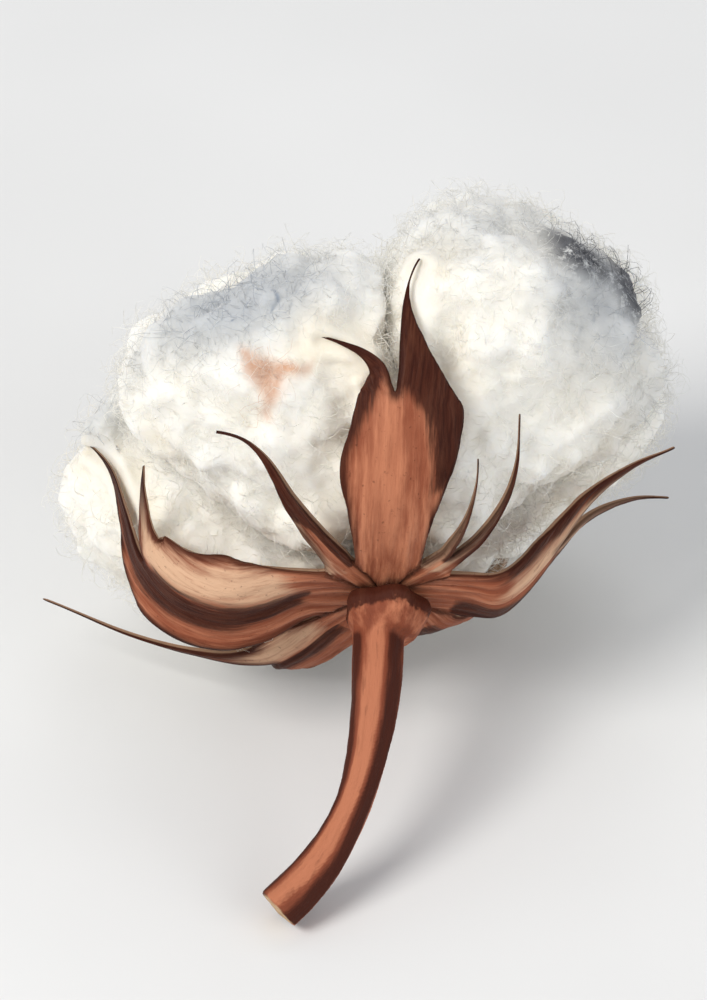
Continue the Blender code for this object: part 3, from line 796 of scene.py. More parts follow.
def depth_inside(x, y, corners):
    """How far places are inside a convex outline, or below 0 outside it."""
    area = sum(x0 * y1 - x1 * y0 for (x0, y0), (x1, y1) in zip(corners, corners[1:] + corners[:1]))
    turned = corners if area > 0 else corners[::-1]
    depth = np.full(len(x), np.inf)
    for (x0, y0), (x1, y1) in zip(turned, turned[1:] + turned[:1]):
        off = (x1 - x0) * (y - y0) - (y1 - y0) * (x - x0)
        depth = np.minimum(depth, off / math.hypot(x1 - x0, y1 - y0))
    return depth


def colour_lint(mesh, node, to_bur):
    """Stores where a lock has grey painted shade, where it is spotted or stained, and where it is creamy
    beside the bur.
    """
    points = points_of(mesh)
    across, up, nearer = seen_place(points)
    facing = facing_camera(mesh)
    masks = {name: np.zeros(len(points)) for name in ("grey", "dark", "tan")}
    # The grey patches are painted shade, masked to the side that the camera sees.
    for patch in PATCHES:
        if patch.node == node:
            mask = masks[patch.attribute]
            np.maximum(mask, oval(across, up, nearer, facing, patch), out=mask)
    if node == "lock_front_left":
        wave = np.array([noise.noise_vector(point / (2.2 * MM)) for point in points])
        wavy_across, wavy_up = across + wave[:, 0] * STAIN_WAVE, up + wave[:, 1] * STAIN_WAVE
        depth = depth_inside(wavy_across, wavy_up, STAIN_CORNERS)
        masks["tan"] = smoothstep(-STAIN_ROUNDING, STAIN_ROUNDING, depth) * facing
    for name, mask in masks.items():
        store(mesh, name, mask)
    store(mesh, "cream", 1 - smoothstep(0.0, 5.0 * MM, to_bur))


def lint_colour(tree, chosen, strands):
    """White, with painted shade that turns it creamy in the hollows between tufts, grey painted shade in
    patches, dark spots and one tan stain.
    """
    place = add_node(tree, "ShaderNodeTexCoord").outputs["Object"]
    cloud = noise_at(tree, place, 9 * MM, detail=3.0)
    speck = noise_at(tree, place, 0.9 * MM, detail=4.0, roughness=0.7)
    # Painted shade in the creases between tufts: the lint turns a little towards cream there.
    crease_shade = ranged(tree, attribute_of(tree, "crease_shade").outputs["Fac"], 0.35, 0.8)
    colour = blend_colour(
        tree, maths(tree, "MULTIPLY", crease_shade, 0.12), tuple(chosen.white), tuple(chosen.cream)
    )
    cream = maths(
        tree, "MULTIPLY", attribute_of(tree, "cream").outputs["Fac"],
        ranged(tree, cloud, 0.3, 0.7, 0.2, 0.6),
    )
    colour = blend_colour(tree, cream, colour, tuple(chosen.cream))
    # Painted shade: grey in the patches on the camera's side, with a faint random grey mottle from the cloud
    # noise added.
    grey = maths(
        tree, "MULTIPLY", attribute_of(tree, "grey").outputs["Fac"],
        ranged(tree, strands, 0.2, 0.9, 0.6, 1.0),
    )
    grey = maths(tree, "ADD", grey, ranged(tree, cloud, 0.56, 0.78, 0.0, 0.12), clamp=True)
    colour = blend_colour(tree, grey, colour, tuple(chosen.grey))
    spotted = maths(
        tree, "MULTIPLY", attribute_of(tree, "dark").outputs["Fac"], ranged(tree, speck, 0.32, 0.5)
    )
    colour = blend_colour(tree, spotted, colour, tuple(chosen.dark))
    stained = maths(
        tree, "MULTIPLY", attribute_of(tree, "tan").outputs["Fac"],
        ranged(tree, speck, 0.3, 0.7, 1.0, 0.7),
    )
    return blend_colour(tree, stained, colour, tuple(chosen.tan))


def lint_material(name, chosen):
    """Soft matte lint: matted strands, with light that sinks in."""
    material, tree, shader = new_material(name)
    place = add_node(tree, "ShaderNodeTexCoord").outputs["Object"]
    strands = noise_at(
        tree, place, 2.4 * MM, detail=5.0, roughness=0.6, distortion=1.8,
        kind="RIDGED_MULTIFRACTAL",
    )
    tree.links.new(lint_colour(tree, chosen, strands), shader.inputs["Base Color"])
    shader.inputs["Roughness"].default_value = 0.95
    shader.inputs["Specular IOR Level"].default_value = 0.1
    shader.inputs["Subsurface Weight"].default_value = 0.5
    shader.inputs["Subsurface Radius"].default_value = (1.0, 0.9, 0.75)
    shader.inputs["Subsurface Scale"].default_value = 1.2 * MM
    shader.inputs["Sheen Weight"].default_value = 0.3
    shader.inputs["Sheen Roughness"].default_value = 0.6
    fine = noise_at(tree, place, 0.45 * MM, detail=3.0, roughness=0.6, distortion=1.2)
    height = maths(tree, "ADD", maths(tree, "MULTIPLY", strands, 0.5), fine)
    bump = add_node(
        tree, "ShaderNodeBump", {"Height": height, "Strength": 0.4, "Distance": 0.14 * MM}
    )
    tree.links.new(bump.outputs[0], shader.inputs["Normal"])
    return material


def fibre_material(chosen):
    """Fibres take the colour of the lint that they leave, its painted shade included."""
    material, tree, shader = new_material("loose_fibres")
    place = add_node(tree, "ShaderNodeTexCoord").outputs["Object"]
    strands = noise_at(tree, place, 1.5 * MM, detail=2.0)
    tree.links.new(lint_colour(tree, chosen, strands), shader.inputs["Base Color"])
    shader.inputs["Roughness"].default_value = 0.8
    shader.inputs["Specular IOR Level"].default_value = 0.2
    shader.inputs["Sheen Weight"].default_value = 0.3
    return material


def soften_seams(mesh, others, bur):
    """Stores how free the lint's surface is of the bur and of the other locks."""
    points = points_of(mesh)
    to_bur = distance_to([bur], points, 6 * MM)
    to_locks = distance_to(others, points, 2 * MM)
    free = smoothstep(0.3 * MM, 1.6 * MM, to_bur) * smoothstep(0.3 * MM, 1.5 * MM, to_locks)
    exposed = smoothstep(0.1 * MM, 0.3 * MM, to_locks) * smoothstep(0.7 * MM, 2.2 * MM, to_bur)
    store(mesh, "free", free)
    store(mesh, "loose", exposed * (2.5 - 1.5 * smoothstep(0.4 * MM, 2.0 * MM, to_locks)))
    store(mesh, "grain", points)
    return to_bur


class COTTON_OT_lint(bpy.types.Operator):
    """Makes the five locks of lint, each in the place of its solid"""

    bl_idname = "cotton.lint"
    bl_label = "Lint"

    def execute(self, context):
        chosen = boll_settings(context).lint
        material = lint_material("lint", chosen)
        relief = relief_tree()
        solids = {node: tree_of_mesh(merged_solid(node)) for node in LOCK_NODES}
        bur = tree_of_mesh(merged_solid("bur"))
        for i, node in enumerate(LOCK_NODES):
            mesh = remeshed(merged_solid(node), chosen.grain, 14)
            others = [tree for name, tree in solids.items() if name != node]
            to_bur = soften_seams(mesh, others, bur)
            store(mesh, "to_bur", to_bur)
            mesh = run_tree(
                mesh, relief, Tuft_Size=chosen.tuft_size, Tuft_Height=chosen.tuft_height,
                Wave_Size=chosen.fluff_size, Wave_Height=chosen.fluff_height,
                Warp=0.8 * MM, Swell=chosen.swell, Shift=i * 0.03, Material=material,
            )
            points = points_of(mesh)
            points[:, 2] = np.maximum(points[:, 2], 0.0)
            move_points(mesh, points)
            colour_lint(mesh, node, stored(mesh, "to_bur"))
            add_piece(node.replace("lock", "lint"), mesh, material, "cotton", node)
        return {"FINISHED"}


class COTTON_OT_fibres(bpy.types.Operator):
    """Plants the loose fibres that stand out of each lock of lint"""

    bl_idname = "cotton.fibres"
    bl_label = "Loose Fibres"

    def execute(self, context):
        chosen = boll_settings(context).fibres
        material = fibre_material(boll_settings(context).lint)
        tree = fibre_tree()
        for i, node in enumerate(LOCK_NODES):
            name = node.replace("lock", "lint")
            mesh = bpy.data.objects[name].data.copy()
            mesh = run_tree(
                mesh, tree, Density=chosen.density * 1e4, Length=chosen.length,
                Thickness=chosen.thickness, Lift=math.radians(chosen.lift_deg),
                Steps=chosen.steps, Seed=chosen.seed + i, Material=material,
            )
            add_piece(name.replace("lint", "fibres"), mesh, material, "cotton")
        return {"FINISHED"}


# The bur.


def outwards(bearing):
    """The unit vector away from the axis at a bearing in degrees, 0 to the front."""
    a = math.radians(bearing)
    return Vector((math.sin(a), -math.cos(a), 0))


def around(bearing, reach, height):
    return outwards(bearing) * reach + Vector((0, 0, height))


def ease(low, high, value):
    t = min(1.0, max(0.0, (value - low) / (high - low)))
    return t * t * (3 - 2 * t)


def spline(stops, place):
    """A smooth curve through 2D stops, at a place counted in stops from the first."""
    i = min(len(stops) - 2, max(0, int(place)))
    t = place - i
    b, c = stops[i], stops[i + 1]
    a = stops[i - 1] if i else (2 * b[0] - c[0], 2 * b[1] - c[1])
    d = stops[i + 2] if i + 2 < len(stops) else (2 * c[0] - b[0], 2 * c[1] - b[1])
    return [
        q + 0.5 * t * (r - p + t * (2 * p - 5 * q + 4 * r - s + t * (3 * (q - r) + s - p)))
        for p, q, r, s in zip(a, b, c, d)
    ]


def valve_line(valve):
    """The valve's middle line beyond the cup, as even steps of (reach, height, rise)."""
    stops = [(0, 0), (CUP_REACH, CUP_HEIGHT)] + [(r * MM, h * MM) for r, h in valve.line]
    fine = [spline(stops, 1 + i * (len(stops) - 2) / 400) for i in range(401)]
    lengths = [0.0]
    for (r0, h0), (r1, h1) in zip(fine, fine[1:]):
        lengths.append(lengths[-1] + math.hypot(r1 - r0, h1 - h0))
    line, i = [], 0
    for step in range(101):
        while i < 399 and lengths[i + 1] < lengths[-1] * step / 100:
            i += 1
        (r0, h0), (r1, h1) = fine[i], fine[i + 1]
        line.append((r0, h0, math.atan2(h1 - h0, r1 - r0)))
    return line, lengths[-1]


def on_line(line, share):
    place = min(99.999, max(0.0, share * 100))
    i = int(place)
    return [mix(a, b, place - i) for a, b in zip(line[i], line[i + 1])]


def split_share(valve, share):
    """How far along its own point a half is: 0 up to the split and 1 at the end."""
    return max(0.0, (share - valve.split) / (1 - valve.split))


def inner_edge(valve, half, line, share):
    """Where a half's inner edge runs: the middle line, and past the split its own way."""
    split = split_share(valve, share)
    along = share if split <= 0 else mix(valve.split, half.end, split)
    reach, height, rise = on_line(line, along)
    last_reach, last_height, _ = on_line(line, half.end)
    bend = around(half.bearing, half.reach * MM, half.height * MM)
    bend -= around(valve.bearing, last_reach, last_height)
    eased = mix(split**1.6, split**5, half.hook)
    return around(valve.bearing, reach, height) + bend * eased, reach, height, rise


def half_width(half, share, cup_width):
    if share < half.widest:
        return mix(cup_width, half.width, ease(0, half.widest, share))
    past = (share - half.widest) / (1 - half.widest)
    return max(POINT_WIDTH, half.width * (1 - past) ** half.narrowing)


def wall_point(valve, side, line, share, across, cup_width):
    """A point of the wall beyond the cup: side -1 or 1 of the valve, across 0 at its inner edge."""
    half = valve.left if side < 0 else valve.right
    edge, reach, height, rise = inner_edge(valve, half, line, share)
    ahead = inner_edge(valve, half, line, min(1, share + 0.02))[0]
    behind = inner_edge(valve, half, line, max(0, share - 0.02))[0]
    inward = Vector((0, 0, math.cos(rise))) - outwards(valve.bearing) * math.sin(rise)
    sidewise = inward.cross((ahead - behind).normalized()).normalized() * side
    width = across * half_width(half, share, cup_width)
    if valve.left.bearing != valve.right.bearing:
        width += NOTCH * ease(0, 0.2, split_share(valve, share))
    turn = width / half.curl
    curled = edge + (sidewise * math.sin(turn) + inward * (1 - math.cos(turn))) * half.curl
    on_cup = around(valve.bearing + side * math.degrees(width / reach), reach, height)
    length = len(valve.line) * 5.5 * MM
    return on_cup.lerp(curled, ease(0, CURL_RUN / length, share))


def cup_point(valve, side, share, across):
    """A point of the cup: share 0 at the axis and 1 where the valve leaves the cup."""
    sector = (valve.bearing - valve.start) if side < 0 else (valve.stop - valve.bearing)
    height = CUP_HEIGHT * share * share
    return around(valve.bearing + side * across * sector, CUP_REACH * share, height)


def half_rows(valve):
    """The shares of a half's rows: negative in the cup, 0 where it leaves it, 1 at the end."""
    cup = [i / CUP_ROWS - 1 for i in range(CUP_ROWS)]
    body = [valve.split * i / BODY_ROWS for i in range(BODY_ROWS)]
    point = [mix(valve.split, 1, 1 - (1 - i / POINT_ROWS) ** 1.2) for i in range(POINT_ROWS + 1)]
    return cup + body + point


def bur_surface():
    """The bur wall's middle surface, with the measures that its veins and colours follow."""
    mesh = bpy.data.meshes.new("bur")
    whole = bmesh.new()
    layers = {
        name: whole.verts.layers.float.new(name)
        for name in ("share", "edge", "across", "aside", "along", "dark", "half")
    }
    for number, valve in enumerate(VALVES):
        line, length = valve_line(valve)
        rows = half_rows(valve)
        for side in (-1, 1):
            half = valve.left if side < 0 else valve.right
            sector = (valve.bearing - valve.start) if side < 0 else (valve.stop - valve.bearing)
            cup_width = CUP_REACH * math.radians(sector)
            grid = bmesh.ops.create_grid(
                whole, x_segments=HALF_COLUMNS, y_segments=len(rows) - 1, size=0.5
            )
            for vert in grid["verts"]:
                across = vert.co.x + 0.5
                share = rows[round((vert.co.y + 0.5) * (len(rows) - 1))]
                if share <= 0:
                    vert.co = cup_point(valve, side, share + 1, across)
                    aside = side * across * cup_width * (share + 1)
                    edge = (1 - across) * cup_width * (share + 1) + SEAM_FADE
                    along = share * CUP_REACH
                else:
                    vert.co = wall_point(valve, side, line, share, across, cup_width)
                    width = half_width(half, share, cup_width)
                    aside = side * across * width
                    edge = (1 - across) * width
                    if valve.left.bearing != valve.right.bearing:
                        below_split = max(0.0, valve.split - share) * length
                        edge = min(edge, math.hypot(across * width, below_split))
                    edge += SEAM_FADE * (1 - ease(0, 0.2, share))
                    along = share * length
                vert[layers["share"]] = share
                vert[layers["across"]] = across
                vert[layers["half"]] = number * 2 + (side > 0)
                vert[layers["edge"]] = edge
                vert[layers["aside"]] = aside + number * 0.05
                vert[layers["along"]] = along
                vert[layers["dark"]] = half.dark
            if side < 0:
                faces = {face for vert in grid["verts"] for face in vert.link_faces}
                bmesh.ops.reverse_faces(whole, faces=list(faces))
    bmesh.ops.remove_doubles(whole, verts=whole.verts, dist=0.01 * MM)
    whole.to_mesh(mesh)
    whole.free()
    store_facets(mesh)
    return mesh


def store_facets(mesh):
    """Stores how deep places are in the facets of painted shade, painted light or pale painted light, below 0
    outside them.
    """
    share, across, half = (stored(mesh, name) for name in ("share", "across", "half"))
    depths = {kind: np.full(len(share), -3.0) for kind in ("shade", "light", "pale")}
    for facet in FACETS:
        valve = VALVES[facet.valve]
        length = valve_line(valve)[1] / MM
        width = (valve.left if facet.side < 0 else valve.right).width / MM
        corners = tuple((s * length, a * width) for s, a in facet.corners)
        depth = depth_inside(share * length, across * width, corners)
        depth /= min(FACET_SOFTNESS_MM, width * FACET_SOFTNESS)
        in_half = half == facet.valve * 2 + (facet.side > 0)
        on_middle_line = (across < 0.001) & (half // 2 == facet.valve)
        depth[~(in_half | on_middle_line)] = -3.0
        depths[facet.kind] = np.maximum(depths[facet.kind], depth)
    for kind, depth in depths.items():
        store(mesh, kind, np.clip(depth, -3.0, 3.0))


def bur_wall():
    """The bur's wall with rounded rims, laid down in its place."""
    obj = workpiece(bur_surface())
    obj.vertex_groups.new(name="inner_shell")
    full = obj.vertex_groups.new(name="full_wall")
    for index, share in enumerate(stored(obj.data, "share")):
        full.add([index], 1 - ease(0.45, 1.0, share), "REPLACE")
    wall = obj.modifiers.new("wall", "SOLIDIFY")
    wall.thickness = WALL
    wall.offset = 0
    wall.vertex_group = "full_wall"
    wall.thickness_vertex_group = POINT_WALL
    wall.shell_vertex_group = "inner_shell"
    soft = obj.modifiers.new("soft", "SUBSURF")
    soft.levels = soft.render_levels = 1
    graph = bpy.context.evaluated_depsgraph_get()
    graph.update()
    mesh = bpy.data.meshes.new_from_object(obj.evaluated_get(graph))
    inner = obj.vertex_groups["inner_shell"].index
    lining = np.zeros(len(mesh.vertices))
    for vert in mesh.vertices:
        for group in vert.groups:
            if group.group == inner:
                lining[vert.index] = group.weight
    bpy.data.objects.remove(obj)
    store(mesh, "lining", lining)
    mesh.transform(BOLL_PLACE)
    return mesh


def bur_material(chosen):
    """Dry husk: streaked reddish brown, dark at its rims and points, pale and smooth inside, with painted
    light and shade in facets on its outer face.
    """
    material, tree, shader = new_material("dry_bur")
    place = add_node(tree, "ShaderNodeTexCoord").outputs["Object"]
    grain = attribute_of(tree, "grain").outputs["Vector"]
    share = attribute_of(tree, "share").outputs["Fac"]
    edge = attribute_of(tree, "edge").outputs["Fac"]
    dark = attribute_of(tree, "dark").outputs["Fac"]
    lining = ranged(tree, attribute_of(tree, "lining").outputs["Fac"], 0.35, 0.65)
    streaks = noise_at(tree, grain, 0.9 * MM, detail=4.0, roughness=0.62)
    broad = noise_at(tree, place, 5 * MM, detail=2.0)
    specks = noise_at(tree, place, 0.5 * MM, detail=3.0, roughness=0.7)
    fine = noise_at(tree, grain, 0.32 * MM, detail=3.0, roughness=0.6)
    outer = blend_colour(
        tree, ranged(tree, streaks, 0.4, 0.68), tuple(chosen.brown), tuple(chosen.light)
    )
    outer = blend_colour(
        tree, maths(tree, "MULTIPLY", ranged(tree, broad, 0.45, 0.7), 0.3), outer,
        tuple(chosen.light),
    )
    uneven = maths(tree, "SUBTRACT", streaks, 0.5)
    torn = maths(tree, "MULTIPLY", maths(tree, "SUBTRACT", fine, 0.5), 2.0)
    torn = maths(tree, "ADD", maths(tree, "MULTIPLY", uneven, 4.0), torn)
    # Painted light and shade, ragged along the streaks: light facets lighten the outer face as a painted
    # highlight, pale facets turn its lit parts to the lining's colour, shade facets darken it as painted
    # shade.
    light, pale, shade = (
        ranged(tree, maths(tree, "ADD", attribute_of(tree, kind).outputs["Fac"], torn), low, high)
        for kind, low, high in (("light", -1.5, 1.8), ("pale", -0.8, 1.2), ("shade", -0.9, 0.5))
    )
    outer = blend_colour(tree, maths(tree, "MULTIPLY", light, 0.75), outer, tuple(chosen.light))
    outer = blend_colour(tree, maths(tree, "MULTIPLY", pale, 0.85), outer, tuple(chosen.lining))
    inner = blend_colour(
        tree, maths(tree, "MULTIPLY", ranged(tree, streaks, 0.4, 0.7), 0.4),
        tuple(chosen.lining), tuple(chosen.light),
    )
    colour = blend_colour(tree, lining, outer, inner)
    colour = blend_colour(
        tree, maths(tree, "MULTIPLY", ranged(tree, fine, 0.5, 0.72), 0.4), colour,
        tuple(chosen.brown),
    )
    ragged = maths(tree, "MULTIPLY", uneven, 1.4 * MM)
    rim = ranged(tree, maths(tree, "ADD", edge, ragged), 0.2 * MM, 1.3 * MM, 1.0, 0.0)
    points = ranged(tree, maths(tree, "ADD", share, maths(tree, "MULTIPLY", broad, 0.2)), 0.72, 1.04)
    darkness = maths(tree, "MAXIMUM", maths(tree, "MULTIPLY", rim, dark), points)
    # Painted shade: the shade facets darken the face towards the rim colour.
    deep = ranged(tree, fine, 0.3, 0.65, 1.0, 0.88)
    darkness = maths(tree, "MAXIMUM", darkness, maths(tree, "MULTIPLY", shade, deep))
    darkness = maths(
        tree, "MULTIPLY", darkness, maths(tree, "SUBTRACT", 1.0, maths(tree, "MULTIPLY", lining, 0.45))
    )
    colour = blend_colour(tree, darkness, colour, tuple(chosen.rim))
    specked = maths(tree, "MULTIPLY", ranged(tree, specks, 0.62, 0.72), 0.5)
    colour = blend_colour(tree, specked, colour, tuple(chosen.rim))
    tree.links.new(colour, shader.inputs["Base Color"])
    rough = ranged(tree, streaks, 0.3, 0.7, 0.62, 0.42)
    tree.links.new(rough.outputs[0], shader.inputs["Roughness"])
    shader.inputs["Specular IOR Level"].default_value = 0.1
    height = maths(tree, "ADD", streaks, maths(tree, "MULTIPLY", fine, 0.5))
    height = maths(tree, "ADD", height, maths(tree, "MULTIPLY", specks, 0.3))
    bump = add_node(
        tree, "ShaderNodeBump", {"Height": height, "Strength": 0.8, "Distance": 0.25 * MM}
    )
    tree.links.new(bump.outputs[0], shader.inputs["Normal"])
    return material


class COTTON_OT_bur(bpy.types.Operator):
    """Makes the dry bur, with its veins, its dark rims and its pale lining"""

    bl_idname = "cotton.bur"
    bl_label = "Bur"

    def execute(self, context):
        chosen = boll_settings(context).bur
        material = bur_material(chosen)
        mesh = bur_wall()
        lining = stored(mesh, "lining")
        grain = np.stack(
            (stored(mesh, "aside"), lining * 7 * MM, stored(mesh, "along") * 0.1), axis=1
        )
        store(mesh, "grain", grain)
        share = stored(mesh, "share")
        outer = 1 - 0.6 * smoothstep(0.35, 0.65, lining)
        store(mesh, "free", outer * (1 - 0.5 * smoothstep(0.5, 1.0, share)))
        mesh = run_tree(
            mesh, relief_tree(), Tuft_Size=chosen.vein_size * 3, Tuft_Height=chosen.vein_height * 0.7,
            Wave_Size=chosen.vein_size, Wave_Height=chosen.vein_height, Warp=0.15 * MM,
            Material=material,
        )
        add_piece("dry_bur", mesh, material, "bur", "bur")
        return {"FINISHED"}


# The stalk.


def stalk_line():
    """The stalk's middle line in the boll's own frame, from the knob to the picked end."""
    rise = math.radians(AXIS_RISE_DEG)
    along = -STALK_LENGTH_ALONG
    back = (along * math.sin(rise) + BOLL_BASE.z - STALK_END_LIFT) / math.cos(rise)
    end = Vector((STALK_SIDE, back, along))
    first = STALK_TOP + Vector((0, 0, -0.5 * STALK_LENGTH_ALONG))
    last = end + Vector((0.7 * abs(STALK_SIDE), -0.28 * end.y, 0.2 * STALK_LENGTH_ALONG))
    points = []
    for i in range(STALK_LINE_STEPS + 1):
        t = i / STALK_LINE_STEPS
        points.append(
            (1 - t) ** 3 * STALK_TOP + 3 * t * (1 - t) ** 2 * first
            + 3 * t * t * (1 - t) * last + t**3 * end
        )
    return points


def bark_measures(mesh):
    """Each point's place across and along the stalk, and how near it is to the picked end."""
    line = np.array(stalk_line())
    steps = np.linalg.norm(np.diff(line, axis=0), axis=1)
    lengths = np.concatenate(((0.0,), np.cumsum(steps)))
    points = points_of(mesh)
    own = np.array([BOLL_PLACE.inverted() @ Vector(point) for point in points])
    nearest = np.linalg.norm(own[:, None] - line[None], axis=2).argmin(axis=1)
    apart = own - line[nearest]
    along = lengths[nearest]
    heading = line[-1] - line[-2]
    heading /= np.linalg.norm(heading)
    past_end = (own - line[-1]) @ heading
    along = np.where(own[:, 2] > STALK_TOP.z, STALK_TOP.z - own[:, 2], along)
    return apart, along, past_end, own[:, 2]


def stalk_material(chosen):
    """Reddish bark in long streaks, with painted light and shade in bands along it, dark specks, a dried
    calyx darkened by painted shade under the bur, and a pale picked end.
    """
    material, tree, shader = new_material("stalk_bark")
    place = add_node(tree, "ShaderNodeTexCoord").outputs["Object"]
    grain = attribute_of(tree, "grain").outputs["Vector"]
    streaks = noise_at(tree, grain, 1.3 * MM, detail=4.0, roughness=0.6)
    fine = noise_at(tree, grain, 0.35 * MM, detail=3.0, roughness=0.6)
    specks = noise_at(tree, place, 0.7 * MM, detail=2.0, roughness=0.6)
    uneven = maths(tree, "SUBTRACT", streaks, 0.5)
    # Painted light and shade: the bands turn the bark to its light colour, and to the calyx colour for
    # painted shade.
    band = maths(tree, "ADD", attribute_of(tree, "band").outputs["Fac"], maths(tree, "MULTIPLY", uneven, 1.6))
    colour = blend_colour(tree, ranged(tree, band, 0.25, 0.75), tuple(chosen.bark), tuple(chosen.light))
    dark = maths(tree, "MULTIPLY", ranged(tree, band, -0.35, 0.3, 1.0, 0.0), 0.9)
    dark = maths(tree, "MAXIMUM", dark, maths(tree, "MULTIPLY", ranged(tree, fine, 0.55, 0.75), 0.3))
    # The knob's top: the dried calyx, with painted shade under the bur, ragged by the specks.
    calyx = attribute_of(tree, "calyx").outputs["Fac"]
    torn = maths(tree, "ADD", calyx, maths(tree, "MULTIPLY", maths(tree, "SUBTRACT", specks, 0.5), 1.2))
    torn = maths(tree, "MULTIPLY", ranged(tree, torn, 0.3, 0.7), 0.9)
    colour = blend_colour(tree, dark, colour, tuple(chosen.calyx))
    colour = blend_colour(tree, torn, colour, tuple(chosen.calyx))
    cut = attribute_of(tree, "cut").outputs["Fac"]
    wood = blend_colour(
        tree, ranged(tree, specks, 0.35, 0.7, 0.0, 0.5), tuple(chosen.wood), tuple(chosen.bark)
    )
    colour = blend_colour(tree, cut, colour, wood)
    tree.links.new(colour, shader.inputs["Base Color"])
    shader.inputs["Roughness"].default_value = 0.62
    shader.inputs["Specular IOR Level"].default_value = 0.12
    height = maths(tree, "ADD", streaks, maths(tree, "MULTIPLY", fine, 0.7))
    bump = add_node(
        tree, "ShaderNodeBump", {"Height": height, "Strength": 0.8, "Distance": 0.25 * MM}
    )
    tree.links.new(bump.outputs[0], shader.inputs["Normal"])
    return material


class COTTON_OT_stalk(bpy.types.Operator):
    """Makes the stalk, with its ridged bark, its knob and its picked end"""

    bl_idname = "cotton.stalk"
    bl_label = "Stalk"

    def execute(self, context):
        chosen = boll_settings(context).stalk
        material = stalk_material(chosen)
        mesh = remeshed(merged_solid("stalk"), chosen.grain, 8)
        apart, along, past_end, height = bark_measures(mesh)
        store(mesh, "grain", np.stack((apart[:, 0], apart[:, 1], along * 0.12), axis=1))
        off_line = np.linalg.norm(apart, axis=1)
        cut = smoothstep(-0.12 * MM, -0.02 * MM, past_end) * (1 - smoothstep(1.5 * MM, 2.0 * MM, off_line))
        store(mesh, "cut", cut)
        # The dried calyx at the knob's top, darkened with painted shade in the recess under the bur.
        store(mesh, "calyx", smoothstep(CALYX_TOP - 2.6 * MM, CALYX_TOP - 1.0 * MM, height))
        on_knob = smoothstep(KNOB_BOTTOM - 1.0 * MM, KNOB_BOTTOM + 0.5 * MM, height)
        # Painted light and shade: the bands turn with the camera's view, light where the stalk faces it and
        # dark beside.
        turn = np.arctan2(apart[:, 0], apart @ TOWARDS_CAMERA)
        waved = 0.2 + 0.85 * np.cos(BAND_COUNT * (turn + 0.12) + along / (40 * MM))
        store(mesh, "band", mix(waved, 0.42, on_knob))
        near_bur = smoothstep(CALYX_TOP, CALYX_TOP - 0.6 * MM, height)
        store(mesh, "free", near_bur * (1 - 0.6 * cut) * (1 - 0.55 * on_knob))
        mesh = run_tree(
            mesh, relief_tree(), Tuft_Size=chosen.ridge_size * 1.8, Tuft_Height=chosen.ridge_height,
            Wave_Size=chosen.ridge_size, Wave_Height=chosen.ridge_height, Warp=0.2 * MM,
            Material=material,
        )
        points = points_of(mesh)
        points[:, 2] = np.maximum(points[:, 2], 0.0)
        move_points(mesh, points)
        add_piece("stalk_and_knob", mesh, material, "stalk", "stalk")
        return {"FINISHED"}


# The stage.


def add_light(name, place, target, size, power, colour):
    light = bpy.data.lights.new(name, "AREA")
    light.shape = "DISK"
    light.size = size
    light.energy = power
    light.color = colour
    obj = bpy.data.objects.new(name, light)
    bpy.context.scene.collection.objects.link(obj)
    obj.location = place
    obj.rotation_euler = (target - Vector(place)).to_track_quat("-Z", "Y").to_euler()
    return obj


def floor_material():
    material, tree, shader = new_material("pale_floor")
    place = add_node(tree, "ShaderNodeTexCoord").outputs["Object"]
    mottle = noise_at(tree, place, 0.05, detail=2.0)
    colour = blend_colour(tree, ranged(tree, mottle, 0.3, 0.7), (0.73, 0.73, 0.72), (0.76, 0.76, 0.75))
    tree.links.new(colour, shader.inputs["Base Color"])
    shader.inputs["Roughness"].default_value = 0.9
    shader.inputs["Specular IOR Level"].default_value = 0.1
    return material


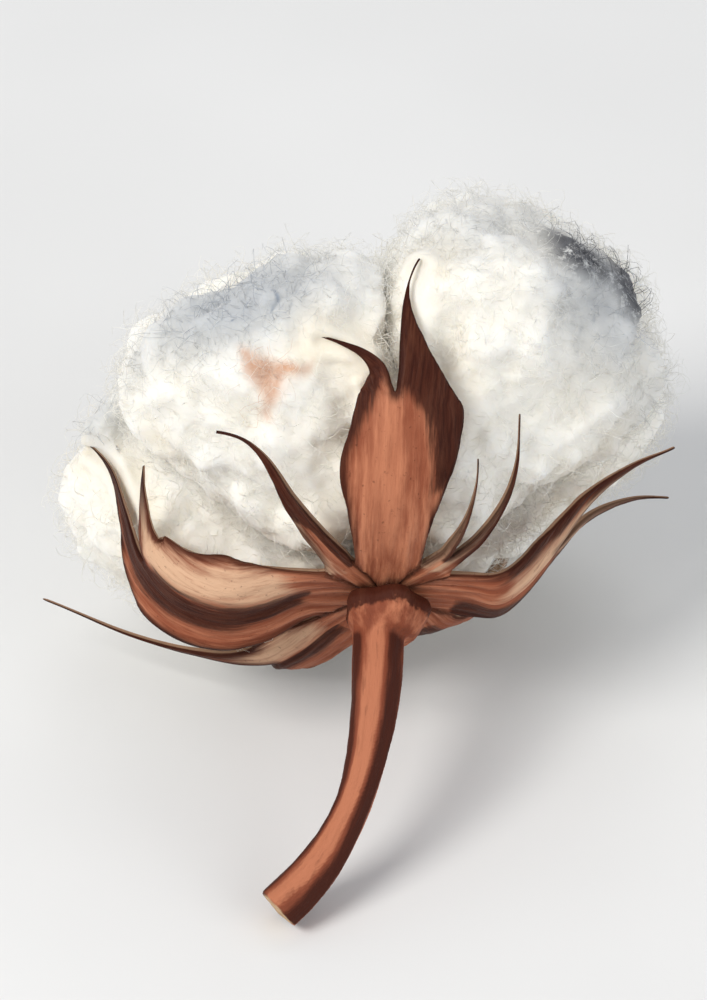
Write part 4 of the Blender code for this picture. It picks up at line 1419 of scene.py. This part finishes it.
class COTTON_OT_stage(bpy.types.Operator):
    """Sets up the pale floor, the soft lights and the camera"""

    bl_idname = "cotton.stage"
    bl_label = "Stage"

    def execute(self, context):
        scene = context.scene
        mesh = bpy.data.meshes.new("floor")
        ground = bmesh.new()
        bmesh.ops.create_grid(ground, x_segments=1, y_segments=1, size=3.0)
        ground.to_mesh(mesh)
        ground.free()
        mesh.materials.append(floor_material())
        floor = bpy.data.objects.new("floor", mesh)
        scene.collection.objects.link(floor)

        low, high = SOLIDS_BOX
        middle = (low + high) / 2
        rise = math.radians(CAMERA_RISE_DEG)
        back = Vector((0, -math.cos(rise), math.sin(rise)))
        camera = bpy.data.cameras.new("camera")
        camera.lens = CAMERA_LENS
        view = bpy.data.objects.new("camera", camera)
        scene.collection.objects.link(view)
        view.location = middle + back * CAMERA_DISTANCE
        view.rotation_euler = (-back).to_track_quat("-Z", "Y").to_euler()
        scene.camera = view

        add_light("key", (-0.45, -0.35, 0.60), middle, 0.40, 4.9, (1.0, 0.98, 0.95))
        add_light("fill", (0.60, -0.45, 0.40), middle, 0.60, 1.9, (0.95, 0.97, 1.0))
        add_light("top", (0.10, 0.45, 0.70), middle, 0.50, 0.9, (1.0, 1.0, 1.0))
        world = bpy.data.worlds.new("pale_room")
        world.use_nodes = True
        backdrop = world.node_tree.nodes["Background"]
        backdrop.inputs["Color"].default_value = (0.93, 0.95, 1.0, 1)
        backdrop.inputs["Strength"].default_value = 0.5
        scene.world = world
        scene.view_settings.view_transform = "Standard"
        return {"FINISHED"}


class COTTON_PT_boll(bpy.types.Panel):
    """The cotton boll's pieces and settings"""

    bl_label = "Cotton Boll"
    bl_space_type = "VIEW_3D"
    bl_region_type = "UI"
    bl_category = "Cotton Boll"

    def draw(self, context):
        layout = self.layout
        chosen = boll_settings(context)
        for operator, group in (
            (COTTON_OT_lint, chosen.lint),
            (COTTON_OT_fibres, chosen.fibres),
            (COTTON_OT_bur, chosen.bur),
            (COTTON_OT_stalk, chosen.stalk),
            (COTTON_OT_stage, None),
        ):
            layout.operator(operator.bl_idname)
            if group:
                for name in group.__annotations__:
                    layout.prop(group, name)


CLASSES = (
    LintSettings, FibreSettings, BurSettings, StalkSettings, BollSettings,
    COTTON_OT_lint, COTTON_OT_fibres, COTTON_OT_bur, COTTON_OT_stalk, COTTON_OT_stage,
    COTTON_PT_boll,
)


def register():
    for cls in CLASSES:
        bpy.utils.register_class(cls)
    bpy.types.Scene.cotton_boll = PointerProperty(type=BollSettings)


def unregister():
    del bpy.types.Scene.cotton_boll
    for cls in reversed(CLASSES):
        bpy.utils.unregister_class(cls)


def main():
    register()
    bpy.ops.cotton.stage()
    bpy.ops.cotton.bur()
    bpy.ops.cotton.stalk()
    bpy.ops.cotton.lint()
    bpy.ops.cotton.fibres()


if __name__ == "__main__":
    main()
